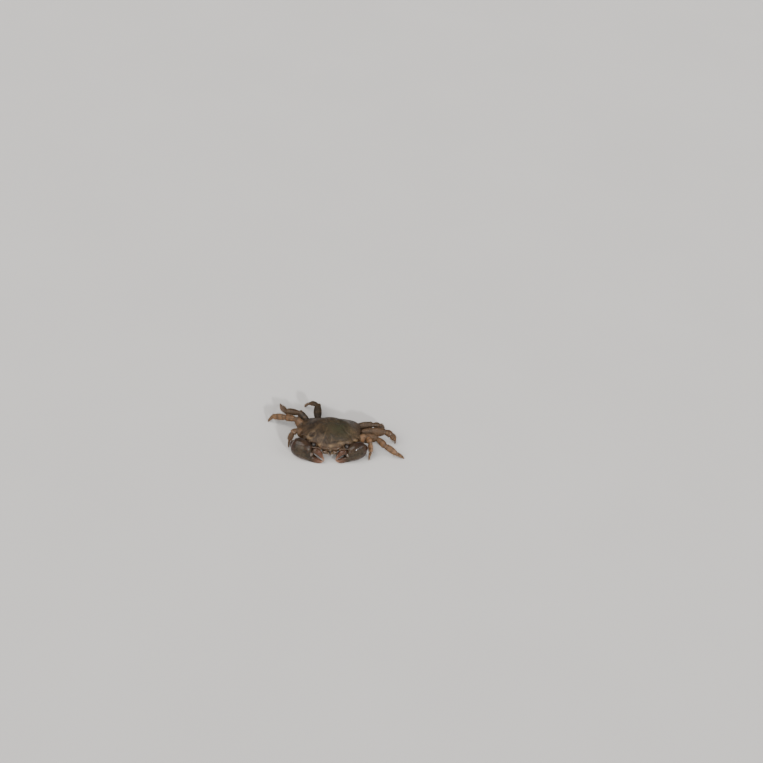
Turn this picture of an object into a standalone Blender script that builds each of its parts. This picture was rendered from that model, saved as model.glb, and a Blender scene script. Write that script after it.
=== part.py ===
"""A small asian shore crab, life size, squatting with its claws drawn in. The face is towards -Y."""

from math import cos, exp, pi, radians, sin

import bmesh
import bpy
from mathutils import Matrix, Vector

MM = 0.001
SHELL_WIDTH = 18.5  # widest part of the carapace, at the third tooth of its edge
SHELL_LENGTH = 15.3
SHELL_RISE = 3.1  # crown above the carapace's edge
CROWN = (0.0, 0.4)  # x and y of the highest place
CROWN_ROUNDNESS = 2.5
# Rings of the back, as shares of the way out from the crown
CROWN_SHARES = [0.1, 0.25, 0.4, 0.54, 0.67, 0.79, 0.89, 0.96, 1.0]
TEETH_FADE = 10  # the higher, the closer to the edge the teeth stay
RELIEF_FADE = 3.0
RIM_HEIGHT = 5.2  # carapace's edge above the floor
RIM_THICKNESS = 0.7
# Share of the outline and drop of the rings under the edge
RIM_TUCKS = [(0.985, 0.35), (0.95, RIM_THICKNESS)]
# The edge dips in front and behind: where the dip starts, its length and how deep it is there
FRONT_DIP = (5.4, 2.6, 0.8)
REAR_DIP = (2.0, 6.0, 0.6)
BODY_PITCH = radians(4)  # the face is carried a little higher than the back
STERNUM_HEIGHT = 1.2
GAP = 0.3  # between pieces that touch
ABDOMEN_THICKNESS = 1.0
FACE_TAPER = 0.42  # how much narrower the body is in front, where the claws fold in
# The body under the carapace: shares of the shell's width and length, and drop below its roof
FLANK_LEVELS = [(0.86, 0.9, 0.0), (0.88, 0.91, 0.6), (0.82, 0.87, 1.2), (0.7, 0.78, 1.8)]
# Half width, half length and height above the sternum of its flat underside, which lies a little back
BELLY_LEVELS = [(5.4, 5.1, 0.35), (4.6, 4.4, 0.0)]
BELLY_SHIFT = 0.4
FLANK_SQUARENESS = 2.8
FLANK_SIDES = 32

# Outline of one side of the carapace from the middle of the front to the middle of the back
HALF_OUTLINE = [
    (0.0, -7.45),
    (0.9, -7.7),
    (2.2, -7.6),
    (3.3, -7.15),
    (3.85, -6.35),
    (4.7, -5.8),
    (5.8, -5.5),
    (6.5, -5.5),
    (7.05, -5.6),
    (7.3, -4.9),
    (7.1, -4.2),
    (7.7, -4.1),
    (8.35, -4.05),
    (8.55, -3.2),
    (8.25, -2.5),
    (8.75, -2.4),
    (9.15, -2.35),
    (9.2, -1.3),
    (9.25, 0.6),
    (9.25, 2.4),
    (8.85, 4.2),
    (7.9, 5.6),
    (6.3, 6.55),
    (4.3, 7.05),
    (2.1, 7.25),
    (0.0, 7.3),
]
# x, y, radius and height of the swellings and hollows of the back, repeated on both sides
RELIEF = [
    (2.0, -4.3, 1.5, 0.30),
    (5.6, 1.6, 2.6, 0.28),
    (0.0, -0.8, 1.5, 0.16),
    (0.0, 4.0, 1.8, 0.22),
    (2.7, 1.5, 1.0, -0.32),
    (5.7, -3.6, 1.5, -0.22),
    (0.0, -6.2, 1.1, -0.22),
    (3.0, 5.6, 1.2, -0.12),
]

# Each walking leg on its own side: root, the ends of its first three segments and its tip, x counted outwards
LEFT_LEGS = {
    "leg1_left": [(5.6, -1.8, 2.6), (11.2, -1.8, 5.2), (12.3, -3.4, 4.7), (12.7, -5.4, 2.6), (12.3, -6.6, 0.0)],
    "leg2_left": [(6.2, 0.0, 2.6), (14.2, -1.2, 4.5), (17.0, -3.7, 4.0), (20.6, -5.1, 2.2), (23.4, -4.9, 0.0)],
    "leg3_left": [(6.2, 2.2, 2.6), (16.8, 1.9, 4.5), (18.9, 1.4, 3.9), (20.3, 1.2, 2.2), (20.6, 1.6, 0.0)],
    "leg4_left": [(5.0, 4.4, 2.6), (13.0, 4.9, 4.4), (15.2, 5.2, 3.8), (16.7, 6.5, 2.0), (17.1, 7.6, 0.0)],
}
RIGHT_LEGS = {
    "leg1_right": [(5.6, -1.7, 2.6), (10.5, -0.3, 5.1), (11.8, -1.0, 4.6), (12.7, -2.0, 2.5), (12.9, -2.7, 0.0)],
    "leg2_right": [(6.2, 0.6, 2.6), (11.0, 5.2, 4.5), (14.2, 6.6, 3.9), (18.4, 8.1, 2.5), (19.9, 8.3, 0.0)],
    "leg3_right": [(5.4, 3.0, 2.6), (10.1, 8.3, 4.5), (14.1, 9.2, 3.9), (16.0, 12.7, 2.3), (16.5, 16.6, 0.0)],
    "leg4_right": [(3.9, 4.8, 2.6), (4.6, 12.2, 4.7), (6.5, 13.7, 4.1), (7.9, 15.0, 2.2), (8.5, 16.1, 0.0)],
}
LEG_SIZE = {"leg1": 0.95, "leg2": 1.05, "leg3": 1.05, "leg4": 0.9}
# Share of the way along, half breadth and half thickness in mm
MERUS = [(0.0, 0.85, 0.8), (0.12, 1.0, 0.75), (0.2, 0.85, 0.62), (0.35, 1.25, 0.73), (0.6, 1.4, 0.75),
         (0.82, 1.28, 0.72), (0.94, 1.1, 0.67), (1.0, 0.96, 0.6)]
CARPUS = [(0.0, 0.62, 0.48), (0.2, 0.8, 0.6), (0.45, 0.95, 0.68), (0.75, 1.04, 0.7), (0.93, 1.0, 0.65),
          (1.0, 0.88, 0.57)]
PROPODUS = [(0.0, 0.66, 0.48), (0.15, 0.82, 0.54), (0.5, 0.92, 0.55), (0.85, 0.77, 0.48), (1.0, 0.58, 0.39)]
DACTYL = [(0.0, 0.48, 0.38), (0.13, 0.53, 0.4), (0.5, 0.42, 0.34), (0.8, 0.3, 0.27), (1.0, 0.2, 0.2)]
# How far each segment arches, in mm
LEG_BOWS = {"merus": 0.0, "carpus": 0.12, "propodus": 0.1, "dactyl": 0.16}
LEG_SIDES = 10
TIP_THICKNESS = 0.35
LEG_LEAN = (0.0, 0.6, 0.8)  # the flat legs lean back, with their broad face up and forwards
TRAILING_LEAN = (0.95, 0.1, 0.3)  # the one that trails straight back lies on its side
TRAILING_LEG = "leg4_right"

# Arm root, elbow, wrist and the direction of the palm for each claw, on the crab's own side
CLAWS = {
    "left": {"root": (4.0, -4.0, 2.6), "elbow": (8.9, -4.2, 2.7), "wrist": (11.0, -5.0, 3.8),
             "heading": (-0.9, -0.36, -0.17), "size": 0.81},
    "right": {"root": (4.0, -4.0, 2.6), "elbow": (9.6, -4.2, 2.7), "wrist": (11.7, -5.15, 3.9),
              "heading": (-0.9, -0.35, -0.17), "size": 0.89},
}
PALM_LEAN = (0.0, 0.1, 1.0)
# Distance from the wrist, height of the middle, half height and half thickness in mm
PALM = [(0.0, 0.2, 1.6, 1.3), (0.6, 0.15, 2.8, 1.95), (2.0, 0.05, 3.6, 2.35), (4.1, 0.0, 3.85, 2.5),
        (6.0, -0.1, 3.5, 2.3), (7.1, -0.45, 3.0, 2.0), (7.7, -1.45, 1.95, 1.6), (8.5, -1.9, 1.35, 1.2),
        (9.8, -2.0, 1.1, 0.95), (11.2, -1.75, 0.75, 0.7), (12.3, -1.3, 0.32, 0.34)]
FINGER = [(8.05, 1.75, 1.0, 0.95), (8.7, 1.9, 1.15, 1.0), (9.8, 1.75, 1.05, 0.88), (10.9, 1.1, 0.8, 0.7),
          (11.8, 0.25, 0.55, 0.5), (12.5, -0.5, 0.28, 0.32)]
# Distance from the wrist, height and radius of the teeth on the fixed finger and on the moving one
PALM_TEETH = [(8.9, -0.95, 0.3), (9.45, -0.95, 0.4), (10.1, -0.95, 0.36), (10.75, -0.97, 0.3),
              (11.3, -1.02, 0.25)]
FINGER_TEETH = [(9.2, 0.8, 0.3), (9.8, 0.72, 0.38), (10.45, 0.45, 0.33), (11.0, 0.1, 0.26)]
TOOTH_HEIGHT = 0.65
TOOTH_SIDES = 6
TOOTH_BLUNTNESS = 0.35
WRIST_LUMP = [(0.0, 1.1, 1.05), (0.25, 1.55, 1.4), (0.6, 1.65, 1.5), (0.85, 1.35, 1.25), (1.0, 0.7, 0.7)]
WRIST_REACH = 1.25  # how far the lump runs on past the wrist, before the palm's room is cut out of it
ARM = [(0.0, 1.0, 1.0), (0.4, 1.35, 1.3), (0.8, 1.5, 1.45), (1.0, 1.15, 1.1)]
CLAW_SIDES = 16
ARM_SIDES = 12

# x, y and z in the level body: root and neck of the stalk, and the far end of the cornea
EYE_POINTS = [(3.2, -5.9, -1.4), (4.5, -6.4, -0.5), (5.8, -6.35, -0.1)]
# Share of the way along and radius
STALK = [(0.0, 0.45), (0.5, 0.5), (0.85, 0.6), (1.0, 0.5)]
CORNEA = [(0.0, 0.5), (0.15, 0.66), (0.4, 0.76), (0.65, 0.7), (0.85, 0.48), (1.0, 0.15)]
EYE_SIDES = 12
FEELER_SIDES = 8
ANTENNA = [(2.9, -6.8, -1.3), (3.2, -7.5, -0.6), (3.8, -8.1, 0.1), (4.7, -8.6, 0.6), (5.8, -8.9, 0.9)]
ANTENNA_RADII = [0.45, 0.42, 0.27, 0.22, 0.13]
ANTENNULE = [(1.0, -7.0, -1.5), (1.25, -7.7, -1.45), (1.7, -8.05, -1.4), (2.2, -8.0, -1.45)]
ANTENNULE_RADII = [0.4, 0.42, 0.34, 0.26]
# Height, inner edge, outer edge and front of the mouth plate, in the level body
MOUTH_PLATE = [(-4.1, 0.5, 1.3, -5.9), (-3.8, 0.3, 1.8, -6.3), (-3.0, 0.25, 2.4, -6.9),
               (-2.4, 0.45, 2.3, -7.2), (-2.25, 0.5, 2.2, -7.0), (-2.1, 0.6, 2.3, -7.1),
               (-1.9, 0.9, 2.0, -7.0)]
MOUTH_DEPTH = 0.42
MOUTH_BACK = 0.9
# Distance back, half width and underside height of the tail flap
ABDOMEN = [(-2.6, 0.45, 0.2), (-2.2, 0.75, 0.0), (-1.0, 1.1, 0.0), (0.4, 1.3, 0.0), (2.0, 1.6, 0.0),
           (3.6, 1.8, 0.0), (5.0, 2.0, 0.0), (5.7, 2.15, 0.35), (6.2, 2.3, 0.95), (6.6, 2.45, 1.75),
           (6.9, 2.5, 2.6), (7.0, 2.4, 3.3)]
# Its section: shares of the half width and of the thickness
FLAP_SECTION = [(-1, 0.5), (-0.82, 0), (-0.3, 0), (0.3, 0), (0.82, 0), (1, 0.5), (0.75, 1), (-0.75, 1)]

MATERIALS = {
    "carapace": ((0.07, 0.05, 0.033), 0.36),
    "claw": ((0.075, 0.052, 0.038), 0.28),
    "finger": ((0.17, 0.1, 0.07), 0.3),
    "leg": ((0.18, 0.105, 0.055), 0.38),
    "underside": ((0.25, 0.17, 0.1), 0.42),
    "eye": ((0.015, 0.012, 0.01), 0.12),
    "feeler": ((0.14, 0.08, 0.045), 0.4),
}


def clear_scene():
    for item in list(bpy.data.objects):
        bpy.data.objects.remove(item, do_unlink=True)


def collection(name):
    made = bpy.data.collections.new(name)
    bpy.context.scene.collection.children.link(made)
    return made


def material(name):
    found = bpy.data.materials.get(name)
    if found:
        return found
    colour, roughness = MATERIALS[name]
    made = bpy.data.materials.new(name)
    made.use_nodes = True
    shader = made.node_tree.nodes["Principled BSDF"]
    shader.inputs["Base Color"].default_value = (*colour, 1.0)
    shader.inputs["Roughness"].default_value = roughness
    shader.inputs["Metallic"].default_value = 0.0
    return made


def solid_from(name, mesh_data, finish, home, smooth_angle=50):
    """An object from a filled bmesh in mm, with its faces turned outwards."""
    bmesh.ops.recalc_face_normals(mesh_data, faces=mesh_data.faces)
    bmesh.ops.scale(mesh_data, vec=(MM, MM, MM), verts=mesh_data.verts)
    mesh = bpy.data.meshes.new(name)
    mesh_data.to_mesh(mesh)
    mesh_data.free()
    mesh.materials.append(material(finish))
    mesh.shade_smooth()
    mesh.set_sharp_from_angle(angle=radians(smooth_angle))
    made = bpy.data.objects.new(name, mesh)
    home.objects.link(made)
    return made


def loft(name, rings, finish, home):
    """A closed body through rings of like point counts, in mm, with a fan over each end."""
    built = bmesh.new()
    rows = [[built.verts.new(point) for point in ring] for ring in rings]
    for row, following in zip(rows, rows[1:]):
        for here in range(len(row)):
            there = (here + 1) % len(row)
            built.faces.new((row[here], row[there], following[there], following[here]))
    for row in (rows[0], rows[-1]):
        middle = built.verts.new(sum((v.co for v in row), Vector()) / len(row))
        for here in range(len(row)):
            built.faces.new((row[here - 1], row[here], middle))
    return solid_from(name, built, finish, home)


def frame_along(direction, up):
    """Across, upwards and along, at right angles, for a piece that runs along direction."""
    along = direction.normalized()
    across = up.cross(along).normalized()
    return across, along.cross(across), along


def mitre(direction, normal, offset):
    """How far along direction a point at offset slides to lie in the plane of normal."""
    lean = direction.dot(normal)
    return -offset.dot(normal) / lean if lean > 0.3 else 0.0


def tube(start, end, sections, up, start_plane=None, end_plane=None, sides=LEG_SIDES, bow=0.0):
    """Rings from start to end, each end lying in the plane that it shares with its neighbour."""
    start, end = Vector(start), Vector(end)
    across, above, along = frame_along(end - start, Vector(up))
    start_plane = start_plane or along
    end_plane = end_plane or along
    rings = []
    for share, breadth, thickness in sections:
        centre = start.lerp(end, share) + above * (bow * sin(pi * share))
        ring = []
        for step in range(sides):
            angle = 2 * pi * (step + 0.5) / sides
            offset = across * (thickness * cos(angle)) + above * (breadth * sin(angle))
            slide = mitre(along, start_plane, offset) * max(0.0, 1 - 2 * share)
            slide += mitre(along, end_plane, offset) * max(0.0, 2 * share - 1)
            ring.append(centre + offset + along * slide)
        rings.append(ring)
    return rings


def swelling(x, y):
    """Height that the back's lobes and grooves add at a point of the plan."""
    total = 0.0
    for centre_x, centre_y, radius, height in RELIEF:
        for side in (1, -1) if centre_x else (1,):
            distance = ((x - side * centre_x) ** 2 + (y - centre_y) ** 2) / radius**2
            total += height * exp(-distance)
    return total


def edge_height(y):
    """The carapace's edge dips towards the front and the back."""
    total = 0.0
    for distance, (start, length, drop) in ((-y, FRONT_DIP), (y, REAR_DIP)):
        total -= drop * max(0.0, (distance - start) / length) ** 2
    return total


def whole_outline():
    mirrored = [(-x, y) for x, y in HALF_OUTLINE[-2:0:-1]]
    return HALF_OUTLINE + mirrored


def without_teeth(outline, rounds=12):
    """The outline with its teeth and notches worn down, for the rings inside the edge."""
    for _ in range(rounds):
        outline = [
            tuple((before[axis] + 2 * here[axis] + after[axis]) / 4 for axis in (0, 1))
            for before, here, after in zip(outline[-1:] + outline[:-1], outline, outline[1:] + outline[:1])
        ]
    return outline


def pitched(point):
    """A point of the level body carried to the body's own height and pitch."""
    turned = Matrix.Rotation(-BODY_PITCH, 3, "X") @ Vector(point)
    return turned + Vector((0, 0, RIM_HEIGHT))


def carapace(name, grow, home):
    """The back shell, or the room that it needs when grown on every side."""
    widen = 1 + grow / (SHELL_WIDTH / 2)
    outline = [(x * widen, y * widen) for x, y in whole_outline()]
    plain = without_teeth(outline)
    rings = []
    for share in CROWN_SHARES:
        ring = []
        keep_teeth = share**TEETH_FADE
        for toothed, worn in zip(outline, plain):
            x, y = (worn[axis] + (toothed[axis] - worn[axis]) * keep_teeth for axis in (0, 1))
            px, py = CROWN[0] + (x - CROWN[0]) * share, CROWN[1] + (y - CROWN[1]) * share
            rise = SHELL_RISE * (1 - share**CROWN_ROUNDNESS)
            rise += swelling(px, py) * min(1.0, RELIEF_FADE * (1 - share))
            ring.append(pitched((px, py, rise + edge_height(y) * share**3 + grow)))
        rings.append(ring)
    for inset, drop in RIM_TUCKS:
        rings.append([pitched((x * inset, y * inset, edge_height(y) - drop - grow)) for x, y in outline])
    return loft(name, rings, "carapace", home)


def thorax_rings(grow):
    """Plan sections of the body under the carapace, from the roof down to the sternum."""
    roof = -RIM_THICKNESS - GAP
    turns = [2 * pi * (step + 0.5) / FLANK_SIDES for step in range(FLANK_SIDES)]
    rings = []
    for wide, long, drop in FLANK_LEVELS:
        ring = []
        for turn in turns:
            c, s = cos(turn), sin(turn)
            round_off = (abs(c) ** FLANK_SQUARENESS + abs(s) ** FLANK_SQUARENESS) ** (-1 / FLANK_SQUARENESS)
            x = (SHELL_WIDTH / 2 * wide + grow) * c * round_off * (1 - FACE_TAPER * max(0.0, -s) ** 1.5)
            y = (SHELL_LENGTH / 2 * long + grow) * s * round_off
            ring.append(pitched((x, y, roof - drop + edge_height(y) + (0.0 if drop else grow))))
        rings.append(ring)
    for wide, long, height in BELLY_LEVELS:
        level = STERNUM_HEIGHT + height - grow
        rings.append([
            Vector(((wide + grow) * cos(turn), (long + grow) * sin(turn) + BELLY_SHIFT, level))
            for turn in turns
        ])
    return rings


def as_cutter(piece):
    piece.hide_render = True
    piece.display_type = "WIRE"
    return piece


def cut_away(piece, cutter):
    cut = piece.modifiers.new("clear_of_" + cutter.name, "BOOLEAN")
    cut.operation = "DIFFERENCE"
    cut.object = cutter


def to_side(points, side):
    return [Vector((x * side, y, z)) for x, y, z in points]


def leg(name, points, side, size, cutter_list, home):
    """The four long segments of a walking leg, each ending in the plane that it shares with the next."""
    joints = to_side(points, side)
    heads = [(b - a).normalized() for a, b in zip(joints, joints[1:])]
    planes = [heads[0]] + [(a + b).normalized() for a, b in zip(heads, heads[1:])] + [heads[-1]]
    up = Vector(TRAILING_LEAN if name == TRAILING_LEG else LEG_LEAN)
    shapes = [("merus", MERUS), ("carpus", CARPUS), ("propodus", PROPODUS), ("dactyl", DACTYL)]
    made = []
    for index, (part, sections) in enumerate(shapes):
        start = joints[index] + heads[index] * (GAP / 2 if index else 0.0)
        end = joints[index + 1] - heads[index] * (GAP / 2 if index < 3 else 0.0)
        sized = [(share, breadth * size, thickness * size) for share, breadth, thickness in sections]
        rings = tube(start, end, sized, up, planes[index], planes[index + 1], bow=LEG_BOWS[part])
        if part == "dactyl":
            rings = on_floor(rings)
        made.append(loft(f"{name}_{part}", rings, "leg", home))
    for cutter in cutter_list:
        cut_away(made[0], cutter)


def on_floor(rings):
    """A tip that stands on a small flat at floor level."""
    tip = rings[-1]
    flat = [Vector((point.x, point.y, 0.0)) for point in tip]
    above = above_floor(rings[:-1], TIP_THICKNESS)
    return above + [flat]


def along_claw(base, sections, axes, sides):
    """Rings of a claw or finger, measured from the wrist along, up and across it."""
    along, above, across = axes
    rings = []
    for distance, middle, half_height, half_thickness in sections:
        centre = base + along * distance + above * middle
        rings.append([
            centre
            + above * (half_height * sin(2 * pi * (step + 0.5) / sides))
            + across * (half_thickness * cos(2 * pi * (step + 0.5) / sides))
            for step in range(sides)
        ])
    return rings


def above_floor(rings, floor=0.0):
    return [[Vector((point.x, point.y, max(point.z, floor))) for point in ring] for ring in rings]


def finger_teeth(finger, table, base, along, above, pointing, size, home):
    """Fuses a row of blunt teeth, whose feet are sunk in the finger, into it."""
    turn = Vector((0, 0, 1)).rotation_difference(above * pointing).to_matrix().to_4x4()
    teeth = []
    for index, (distance, height, radius) in enumerate(table):
        foot = base + (along * distance + above * height) * size
        built = bmesh.new()
        bmesh.ops.create_cone(built, cap_ends=True, segments=TOOTH_SIDES, radius1=radius * size,
                              radius2=radius * size * TOOTH_BLUNTNESS, depth=TOOTH_HEIGHT * size,
                              matrix=Matrix.Translation(foot) @ turn)
        teeth.append(solid_from(f"tooth{index}", built, "finger", home))
    joined(finger, teeth)


def settle(piece):
    """Applies the cuts that the piece carries and keeps its largest closed surface."""
    bpy.context.view_layer.update()
    graph = bpy.context.evaluated_depsgraph_get()
    cut = bpy.data.meshes.new_from_object(piece.evaluated_get(graph))
    piece.modifiers.clear()
    worked = bmesh.new()
    worked.from_mesh(cut)
    for shell in shells(worked)[1:]:
        bmesh.ops.delete(worked, geom=shell, context="FACES")
    worked.to_mesh(cut)
    worked.free()
    piece.data = cut


def shells(mesh_data):
    """The faces of each closed surface, the one with most surface first."""
    waiting = set(mesh_data.faces)
    found = []
    while waiting:
        queue = [waiting.pop()]
        shell = []
        while queue:
            face = queue.pop()
            shell.append(face)
            for edge in face.edges:
                for other in edge.link_faces:
                    if other in waiting:
                        waiting.remove(other)
                        queue.append(other)
        found.append(shell)
    return sorted(found, key=lambda shell: -sum(face.calc_area() for face in shell))


def joined(piece, additions):
    """Fuses the additions into the piece and removes them."""
    group = collection(piece.name + "_additions")
    for item in additions:
        for owner in list(item.users_collection):
            owner.objects.unlink(item)
        group.objects.link(item)
    union = piece.modifiers.new("fuse", "BOOLEAN")
    union.operation = "UNION"
    union.operand_type = "COLLECTION"
    union.collection = group
    bpy.context.view_layer.update()
    graph = bpy.context.evaluated_depsgraph_get()
    fused = bpy.data.meshes.new_from_object(piece.evaluated_get(graph))
    piece.modifiers.remove(union)
    piece.data = fused
    for item in list(group.objects):
        bpy.data.objects.remove(item, do_unlink=True)
    bpy.data.collections.remove(group)


def claw(name, settings, side, cutter_list, home, cutters):
    """Arm, wrist, palm with its fixed finger, and the moving finger, bent across the front of the body."""
    size = settings["size"]
    root, elbow, wrist = to_side([settings["root"], settings["elbow"], settings["wrist"]], side)
    heading = settings["heading"]
    along = Vector((heading[0] * side, heading[1], heading[2])).normalized()
    lean = Vector(PALM_LEAN)
    above = (lean - along * lean.dot(along)).normalized()
    across = above.cross(along)
    axes = (along, above, across)
    up = Vector((0, 0, 1))

    arm_head = (elbow - root).normalized()
    arm_end = (arm_head + (wrist - elbow).normalized()).normalized()
    arm = [(share, breadth * size, thickness * size) for share, breadth, thickness in ARM]
    upper = loft(name + "_merus", tube(root, elbow, arm, up, arm_head, arm_end, sides=ARM_SIDES), "leg", home)
    for cutter in cutter_list:
        cut_away(upper, cutter)
    room = [(distance * size - GAP, middle * size, high * size + GAP, thick * size + GAP)
            for distance, middle, high, thick in PALM]
    room_rings = along_claw(wrist, room, axes, CLAW_SIDES)
    palm_room = as_cutter(loft(name + "_palm_room", room_rings, "claw", cutters))
    cut_away(upper, palm_room)

    sized = [(share, breadth * size, thickness * size) for share, breadth, thickness in WRIST_LUMP]
    lump = tube(elbow + arm_end * GAP, elbow.lerp(wrist, WRIST_REACH), sized, up, arm_end, sides=ARM_SIDES)
    wrist_piece = loft(name + "_carpus", lump, "claw", home)
    for cutter in (*cutter_list, palm_room):
        cut_away(wrist_piece, cutter)

    scaled = [tuple(value * size for value in section) for section in PALM]
    palm = loft(name + "_palm", above_floor(along_claw(wrist, scaled, axes, CLAW_SIDES)), "claw", home)
    finger_teeth(palm, PALM_TEETH, wrist, along, above, 1, size, home)
    for cutter in cutter_list:
        cut_away(palm, cutter)

    scaled = [tuple(value * size for value in section) for section in FINGER]
    finger = loft(name + "_dactyl", above_floor(along_claw(wrist, scaled, axes, ARM_SIDES)), "finger", home)
    finger_teeth(finger, FINGER_TEETH, wrist, along, above, -1, size, home)
    for cutter in cutter_list:
        cut_away(finger, cutter)


def rounds(table):
    """Sections as broad as they are thick, from shares and radii."""
    return [(share, radius, radius) for share, radius in table]


def eye(name, side, cutter_list, home, cutters):
    """A short stalk lying outwards in the orbit, and the dark cornea on its end; gives the room they need."""
    root, neck, end = [pitched((x * side, y, z)) for x, y, z in EYE_POINTS]
    up = Vector((0, 0, 1))
    along = (end - neck).normalized()
    stalk_rings = tube(root, neck, rounds(STALK), up, sides=EYE_SIDES)
    cornea_rings = tube(neck + along * GAP, end, rounds(CORNEA), up, sides=EYE_SIDES)
    stalk = loft(name + "_stalk", stalk_rings, "leg", home)
    cornea = loft(name + "_cornea", cornea_rings, "eye", home)
    for cutter in cutter_list:
        cut_away(stalk, cutter)
        cut_away(cornea, cutter)
    grown = [(-GAP, CORNEA[0][1])] + [(share, radius + GAP) for share, radius in CORNEA] + [(1 + GAP, GAP)]
    room_rings = tube(neck, end, rounds(grown), up, sides=EYE_SIDES)
    return as_cutter(loft(name + "_room", room_rings, "eye", cutters))


def feeler(name, side, points, radii, cutter_list, home):
    """A tapering feeler along a bent line, as one loft."""
    path = [pitched((x * side, y, z)) for x, y, z in points]
    rings = []
    for index, (centre, radius) in enumerate(zip(path, radii)):
        before, after = path[max(index - 1, 0)], path[min(index + 1, len(path) - 1)]
        across, above, _ = frame_along(after - before, Vector((0, 0, 1)))
        turns = [2 * pi * step / FEELER_SIDES for step in range(FEELER_SIDES)]
        rings.append([centre + (across * cos(turn) + above * sin(turn)) * radius for turn in turns])
    made = loft(name, rings, "feeler", home)
    for cutter in cutter_list:
        cut_away(made, cutter)


def mouth_plate(name, side, cutter, home):
    """The outermost mouthpart: a broad lower joint, a narrower upper one and the gape between the pair."""
    rings = []
    for level, inner, outer, front in MOUTH_PLATE:
        middle = (inner + outer) / 2
        points = [(inner, front + MOUTH_DEPTH), (inner, front - 0.1), (middle, front - MOUTH_DEPTH),
                  (outer, front - 0.1), (outer, front + MOUTH_DEPTH), (middle, front + MOUTH_BACK)]
        rings.append([pitched((x * side, y, level)) for x, y in points])
    made = loft(name, rings, "underside", home)
    cut_away(made, cutter)


def abdomen(cutter_list, home):
    """The narrow tail flap of a male, folded forwards under the body and resting on the floor."""
    rings = []
    for y, half_width, low in ABDOMEN:
        rings.append([
            Vector((half_width * across, y, low + ABDOMEN_THICKNESS * share))
            for across, share in FLAP_SECTION
        ])
    made = loft("abdomen", rings, "underside", home)
    for cutter in cutter_list:
        cut_away(made, cutter)


def build():
    clear_scene()
    home = collection("asian_shore_crab")
    cutters = collection("cutters")
    carapace("carapace", 0.0, home)
    thorax_cutter = as_cutter(loft("thorax_cutter", thorax_rings(GAP), "underside", cutters))
    carapace_cutter = as_cutter(carapace("carapace_cutter", GAP, cutters))
    both = (thorax_cutter, carapace_cutter)
    cut_away(loft("thorax", thorax_rings(0.0), "underside", home), carapace_cutter)
    for legs, side in ((LEFT_LEGS, 1), (RIGHT_LEGS, -1)):
        for name, points in legs.items():
            leg(name, points, side, LEG_SIZE[name[:4]], both, home)
    for word, side in (("left", 1), ("right", -1)):
        eye_room = eye("eye_" + word, side, both, home, cutters)
        claw("claw_" + word, CLAWS[word], side, (*both, eye_room), home, cutters)
        feeler("antenna_" + word, side, ANTENNA, ANTENNA_RADII, both, home)
        feeler("antennule_" + word, side, ANTENNULE, ANTENNULE_RADII, both, home)
        mouth_plate("maxilliped_" + word, side, thorax_cutter, home)
    abdomen(both, home)
    for piece in home.objects:
        if piece.modifiers:
            settle(piece)


build()
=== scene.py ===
"""Looks of the small asian shore crab: wet mottled shell, claws, banded legs, eyes and face. Sizes in mm."""

from math import cos, pi, radians, sin
from random import Random

import bmesh
import bpy
import numpy as np
from mathutils import Matrix, Vector, noise


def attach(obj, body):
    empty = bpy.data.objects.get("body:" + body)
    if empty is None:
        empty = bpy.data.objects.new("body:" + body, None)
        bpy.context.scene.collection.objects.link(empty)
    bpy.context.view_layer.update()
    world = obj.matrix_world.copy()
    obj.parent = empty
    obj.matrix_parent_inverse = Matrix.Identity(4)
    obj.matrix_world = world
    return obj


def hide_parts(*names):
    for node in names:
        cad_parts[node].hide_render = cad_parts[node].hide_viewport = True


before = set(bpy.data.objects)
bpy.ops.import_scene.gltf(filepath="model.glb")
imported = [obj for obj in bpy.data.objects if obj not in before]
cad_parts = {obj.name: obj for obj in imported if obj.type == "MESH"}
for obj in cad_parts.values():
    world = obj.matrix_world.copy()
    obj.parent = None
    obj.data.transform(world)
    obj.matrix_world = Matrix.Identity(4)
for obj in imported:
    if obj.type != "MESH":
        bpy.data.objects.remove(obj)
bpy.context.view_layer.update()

MM = 0.001
UP = Vector((0, 0, 1))
SHELL_WIDTH = 18.5
SHELL_LENGTH = 15.3
SHELL_RISE = 3.1  # of the back's middle over its rim
RIM_HEIGHT = 5.2
RIM_THICKNESS = 0.7
BODY_PITCH = radians(4)
STERNUM_HEIGHT = 1.2
GAP = 0.3  # between the solids
JOINT_CLEARANCE = 0.06  # the dressed segments close the solids' gap down to this on each side
FACE_TAPER = 0.42  # how much the body under the shell narrows towards the face, and how late
FACE_TAPER_POWER = 1.5
CROWN = (0.0, 0.4)  # the highest point of the back

# Half of the shell's edge, from the middle of the front round to the middle of the rear
HALF_OUTLINE = [
    (0.0, -7.45), (0.9, -7.7), (2.2, -7.6), (3.3, -7.15), (3.85, -6.35), (4.7, -5.8), (5.8, -5.5),
    (6.5, -5.5), (7.05, -5.6), (7.3, -4.9), (7.1, -4.2), (7.7, -4.1), (8.35, -4.05), (8.55, -3.2),
    (8.25, -2.5), (8.75, -2.4), (9.15, -2.35), (9.2, -1.3), (9.25, 0.6), (9.25, 2.4), (8.85, 4.2),
    (7.9, 5.6), (6.3, 6.55), (4.3, 7.05), (2.1, 7.25), (0.0, 7.3),
]
# x, y, radius and height of the swellings and hollows of the back, repeated on both sides
RELIEF = [
    (2.0, -4.3, 1.5, 0.30), (5.6, 1.6, 2.6, 0.28), (0.0, -0.8, 1.5, 0.16), (0.0, 4.0, 1.8, 0.22),
    (2.7, 1.5, 1.0, -0.32), (5.7, -3.6, 1.5, -0.22), (0.0, -6.2, 1.1, -0.22), (3.0, 5.6, 1.2, -0.12),
]
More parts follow.
